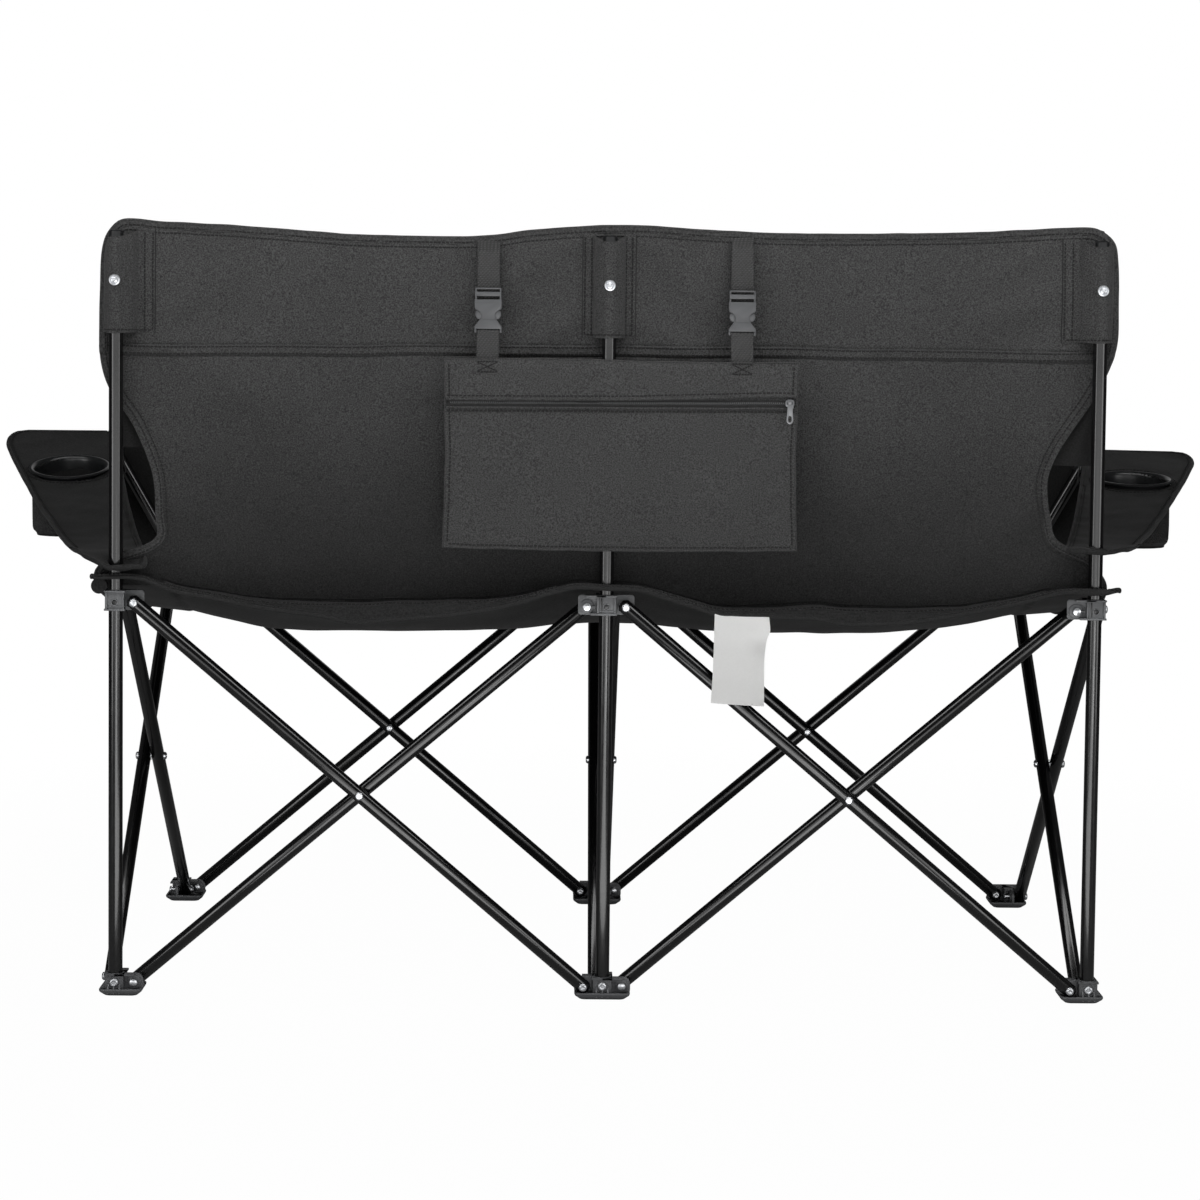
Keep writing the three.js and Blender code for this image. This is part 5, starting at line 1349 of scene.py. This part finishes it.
def zip_parts():
    low, high = (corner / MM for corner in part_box("zip_slider"))
    middle = (low + high) / 2 + ZIP_NUDGE
    slider = Form()
    half_shell = [(-4.8, 1.6), (-4.2, 3.4), (-2.0, 4.4), (2.0, 4.4), (4.6, 3.0)]
    shell = [(a, -b) for a, b in half_shell] + [(5.2, 0)] + half_shell[::-1]
    slider.prism([(middle.x + a, middle.z + b) for a, b in shell], low.y + 0.2, low.y + 2.8)
    bridge = [Vector((middle.x - 3.6 * math.cos(a), low.y + 2.4 + 3.0 * math.sin(a), middle.z + 0.2))
              for a in spread(0, math.pi, 12)]
    slider.strip(bridge, lambda i, p: oval(p, REARWARD, 0.7, UP, 1.5))
    settle(slider.made("zip_slider_body", [PULL_METAL], bevel=0.5), "zip_slider", ["zip_slider"])

    low, high = (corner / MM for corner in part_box("zip_pull"))
    low, high = low + ZIP_NUDGE, high + ZIP_NUDGE
    x0, y0 = (low.x + high.x) / 2, (low.y + high.y) / 2
    pull = Form()
    outer, hole = [], []
    for a in spread(0, math.tau, 24)[:-1]:
        across, rise = math.cos(a), math.sin(a)
        is_low = rise < 0.3
        outer.append((3.9 * across, low.z + 4.4 + 4.4 * rise if is_low else high.z - 1.2 + 1.2 * rise))
        hole.append((2.0 * across, low.z + (5.0 if is_low else 6.2) + 3.0 * rise))
    outer = [(x * (1.0 if z < low.z + 12 else 0.72), z) for x, z in outer]
    rings = ((outer, -0.6), (outer, 0.6), (hole, 0.6), (hole, -0.6), (outer, -0.6))
    pull.loft([[Vector((x0 + x, y0 + y, z)) for x, z in ring] for ring, y in rings], capped=False)
    settle(pull.made("zip_pull_tab", [PULL_METAL], bevel=0.25), "zip_pull", ["zip_pull"])

    low, high = (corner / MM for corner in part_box("zip_stop"))
    stop = Form()
    stop.block(low, high)
    settle(stop.made("zip_end_stop", [PULL_METAL], bevel=0.4), "zip_stop", ["zip_stop"])


# ---- Straps and side-release buckles ----
STRAPS = {"left": 136.5, "right": -149.5}
STRAP_HALF = 12.6
# One side of the socket's outline and of the clip's flare: distance from the middle and height
SHELL_SIDE = [(15.2, 793), (15.2, 783), (13.8, 781.6), (11.2, 780.6), (9.2, 778.8), (7.9, 775.8), (8.1, 772.6),
              (9.8, 769.8)]
FLARE_SIDE = [(8.8, 771.4), (10.4, 768.8), (13.0, 765.6), (15.3, 762.6), (15.3, 759.9)]


def mirrored(side):
    return side + [(-x, z) for x, z in reversed(side)]


def strap_length(form, x0, path):
    """Webbing along a path of (y, z), its woven edge slightly scalloped."""
    def section(i, point):
        half = STRAP_HALF + 0.35 * math.sin(i * 2.1)
        along = (points[min(i + 1, len(points) - 1)] - points[max(i - 1, 0)]).normalized()
        out = RIGHTWARD.cross(along).normalized() * 0.75
        rim, core = RIGHTWARD * half, RIGHTWARD * (half - 0.8)
        return [point - rim, point - core + out, point + core + out, point + rim, point + core - out,
                point - core - out]

    points = []
    for (y0, z0), (y1, z1) in zip(path, path[1:]):
        steps = max(int(math.hypot(y1 - y0, z1 - z0) / 1.4), 1)
        points += [Vector((x0, y0 + (y1 - y0) * k / steps, z0 + (z1 - z0) * k / steps)) for k in range(steps)]
    points.append(Vector((x0, path[-1][0], path[-1][1])))
    form.strip(points, section)


def buckle(column):
    """A strap from the back's edge to the socket, the clip in it, and the strap on to the bag."""
    x0 = STRAPS[column]
    upper = Form()
    top = back_top_at(x0) - 7
    fall = [(back_point(x0, top).y + 1.2, top), (270.0, top - 12), (269.8, 806), (271.4, 799), (270.6, 794)]
    strap_length(upper, x0, fall)
    webbing = upper.made(f"{column}_buckle_strap", [WEBBING])
    settle(webbing, f"{column}_strap", [f"{column}_upper_strap"])

    rear, front = 271.3, 279.2
    shell = Form()
    outline = [(x0 + x, z) for x, z in mirrored(SHELL_SIDE)]
    shell.prism(outline, front - 1.7, front)
    shell.prism(outline, rear, rear + 1.6)
    shell.block((x0 - 14.9, rear + 0.3, 787.5), (x0 + 14.9, front - 0.3, 792.7))
    for way in (-1, 1):
        for near, far, low, high in ((13.4, 15.2, 783.2, 788.0), (12.9, 14.7, 792, 806)):
            a, b = x0 + way * near, x0 + way * far
            shell.block((min(a, b), rear + 0.6, low), (max(a, b), front - 0.3, high))
    for low, high in ((804.6, 806.1), (796.6, 801.6)):
        shell.block((x0 - 13.5, rear + 1.4, low), (x0 + 13.5, front - 0.4, high))
    socket = shell.made(f"{column}_buckle_shell", [BUCKLE], bevel=0.7)
    settle(socket, f"{column}_strap", [f"{column}_buckle_socket"])

    clip = Form()
    clip.prism([(x0 + x, z) for x, z in mirrored(FLARE_SIDE)], rear + 0.2, front)
    pad = [(-4.0, 771.6), (-2.0, 770.4), (1.4, 771.8), (3.2, 775.6), (2.6, 779.2), (0.4, 781.0), (-2.6, 783.0),
           (-4.2, 786.5), (-5.6, 786.5), (-5.4, 779.0)]
    for way in (-1, 1):
        clip.prism([(x0 + way * (11.4 + a), z) for a, z in pad], rear + 2.2, front - 2.0)
        clip.block((x0 + way * 8.0 - 1.2, rear + 2.4, 766), (x0 + way * 8.0 + 1.2, front - 2.4, 774))
        a, b = x0 + way * 13.2, x0 + way * 15.3
        clip.block((min(a, b), rear + 0.8, 755.6), (max(a, b), front - 0.5, 761))
    clip.block((x0 - 2.2, rear + 2.4, 764), (x0 + 2.2, front - 2.4, 785))
    clip.turned([(-14.0, 0.0), (-14.0, 1.6), (14.0, 1.6), (14.0, 0.0)], (x0, 275.2, 757.4), RIGHTWARD, 14)
    body = clip.made(f"{column}_buckle_clip_body", [BUCKLE], bevel=0.6)
    settle(body, f"{column}_clip", [f"{column}_buckle_clip"])

    lower = Form()
    fall = [(273.0, 759.6), (275.4, 759.8), (277.6, 757.6), (278.4, 750), (281.5, 738), (284.2, 728), (284.6, 712)]
    strap_length(lower, x0, fall)
    tail = lower.made(f"{column}_bag_strap", [WEBBING])
    settle(tail, f"{column}_clip", [f"{column}_lower_strap"])


# ---- Care label, left blank ----
def care_label():
    # Each side's line down the label, as the photograph shows its curl
    left_line = [(0, -121.9), (0.64, -120.4), (1, -118.7)]
    right_line = [(0, -183.2), (0.14, -184.4), (0.24, -180.8), (0.7, -178.4), (1, -178.6)]

    def point_at(u, v):
        a, b = between(left_line, v), between(right_line, v)
        x = a + (b - a) * u
        top = hem_low_at(x) + 0.6
        z = top + (338.5 + 3.5 * (1 - u) - top) * v
        curl = 3.0 * math.sin(v * 2.6) + 2.2 * math.sin(u * math.pi) * v
        curl += 4.5 * smooth(0.55, 1.0, u) * math.exp(-((v - 0.24) / 0.16) ** 2)
        return Vector((x, SEAT_END + 2.0 + curl + 0.8 * crumple(u * 60, v * 100, 22, 71.0), z))

    form = Form()
    form.grid(30, 48, point_at)
    label = form.made("blank_care_label", [LABEL], thick=0.35)
    settle(label, "rear_centre_hub", ["care_tag"])


storage_bag()
zip_parts()
for column in STRAPS:
    buckle(column)
care_label()


# ---- Light, floor and camera ----
def softbox(name, place, aim, width, height, power):
    """A rectangular lamp, in metres and watts, turned toward what it aims at."""
    lamp = bpy.data.lights.new(name, "AREA")
    lamp.shape, lamp.size, lamp.size_y, lamp.energy = "RECTANGLE", width, height, power
    lamp_object = bpy.data.objects.new(name, lamp)
    bpy.context.scene.collection.objects.link(lamp_object)
    lamp_object.location = place
    lamp_object.rotation_euler = (Vector(aim) - Vector(place)).to_track_quat("-Z", "Y").to_euler()
    return lamp_object


# Name, place, aim, width, height and power
for lamp in (("top_bar", (0.1, 0.75, 1.32), (0.1, 0.25, 0.72), 3.0, 0.3, 11),
             ("camera_band", (0.0, 3.75, 0.34), (0, 0, 0.34), 7.0, 0.66, 22),
             ("left_strip", (2.35, 1.9, 0.5), (0.1, 0.2, 0.45), 0.8, 1.0, 8.6),
             ("right_strip", (-2.35, 1.9, 0.5), (-0.1, 0.2, 0.45), 0.8, 1.0, 7.8),
             ("low_bar", (-0.6, 2.6, 0.1), (-0.3, 0.2, 0.1), 0.7, 0.24, 3.2),
             ("front_fill", (0.0, -3.0, 2.0), (0, 0, 0.5), 2.5, 2.0, 8)):
    softbox(*lamp)
# Two bright cards, seen only mirrored in the tubes: one lying before the chair, one over the long box
for card in (("floor_card", (0.0, 2.1, 0.01), (0, 2.1, 1), 1.1, 3.0, 34),
             ("upper_card", (0.0, 3.75, 0.95), (0, 0, 0.6), 7.0, 0.5, 15)):
    softbox(*card).visible_diffuse = False

world = bpy.data.worlds.new("studio")
bpy.context.scene.world = world
world.use_nodes = True
sky = world.node_tree
seen = node(sky, "ShaderNodeLightPath")
white_seen = node(sky, "ShaderNodeMath",
                  {0: seen.outputs["Is Camera Ray"], 1: seen.outputs["Is Transmission Ray"]}, operation="MAXIMUM")
backdrop = sky.nodes["Background"]
backdrop.inputs["Color"].default_value = (1, 1, 1, 1)
level = node(sky, "ShaderNodeMapRange", {"Value": white_seen.outputs[0], "To Min": 0.055, "To Max": 1.0})
sky.links.new(level.outputs["Result"], backdrop.inputs["Strength"])

# The floor, 0.4 mm under the feet, keeps a faint shadow near them and fades into the white backdrop
FLOOR_HALF = 30000
floor_material, floor_tree, floor_shader, floor_place = finish("studio_floor", "#bcbcbc", 0.8)
floor_glow = node(floor_tree, "ShaderNodeEmission", {"Color": (1, 1, 1, 1), "Strength": 1.0})
floor_seen = node(floor_tree, "ShaderNodeLightPath")
floor_away = node(floor_tree, "ShaderNodeVectorMath", {0: floor_place}, operation="LENGTH")
floor_fade = node(floor_tree, "ShaderNodeMapRange",
                  {"Value": floor_away.outputs["Value"], "From Min": 0.9, "From Max": 1.8, "To Min": 0.985})
floor_share = node(floor_tree, "ShaderNodeMath",
                   {0: floor_seen.outputs["Is Camera Ray"], 1: floor_fade.outputs["Result"]}, operation="MULTIPLY")
floor_mix = node(floor_tree, "ShaderNodeMixShader",
                 {0: floor_share.outputs[0], 1: floor_shader.outputs[0], 2: floor_glow.outputs[0]})
floor_tree.links.new(floor_mix.outputs[0], floor_tree.nodes["Material Output"].inputs["Surface"])
ground = Form()
ground.grid(1, 1, lambda u, v: ((2 * u - 1) * FLOOR_HALF, (2 * v - 1) * FLOOR_HALF, -0.4))
ground.made("studio_ground", [floor_material])


def photo_camera():
    """Fitted to the photograph, in its pixels: its width, its focal length and the row of its optical centre."""
    width, focal, centre_row, sensor = 1200, 2831, 504, 36.0
    data = bpy.data.cameras.new("photo_camera")
    data.sensor_width, data.lens = sensor, focal / width * sensor
    data.shift_y = (centre_row - width / 2) / width
    camera = bpy.data.objects.new("photo_camera", data)
    bpy.context.scene.collection.objects.link(camera)
    pitch, yaw, roll = 0.05945, -0.01257, 0.01106
    forward = Vector((math.sin(yaw) * math.cos(pitch), -math.cos(yaw) * math.cos(pitch), -math.sin(pitch)))
    level_right = forward.cross(UP).normalized()
    level_up = level_right.cross(forward)
    right = level_right * math.cos(roll) + level_up * math.sin(roll)
    up = -level_right * math.sin(roll) + level_up * math.cos(roll)
    turn = Matrix((right, up, -forward)).transposed()
    eye = Vector((0.0485, 3.4681, 0.7539))
    camera.matrix_world = Matrix.Translation(eye) @ turn.to_4x4()
    bpy.context.scene.camera = camera


photo_camera()
bpy.context.scene.view_settings.view_transform = "Standard"
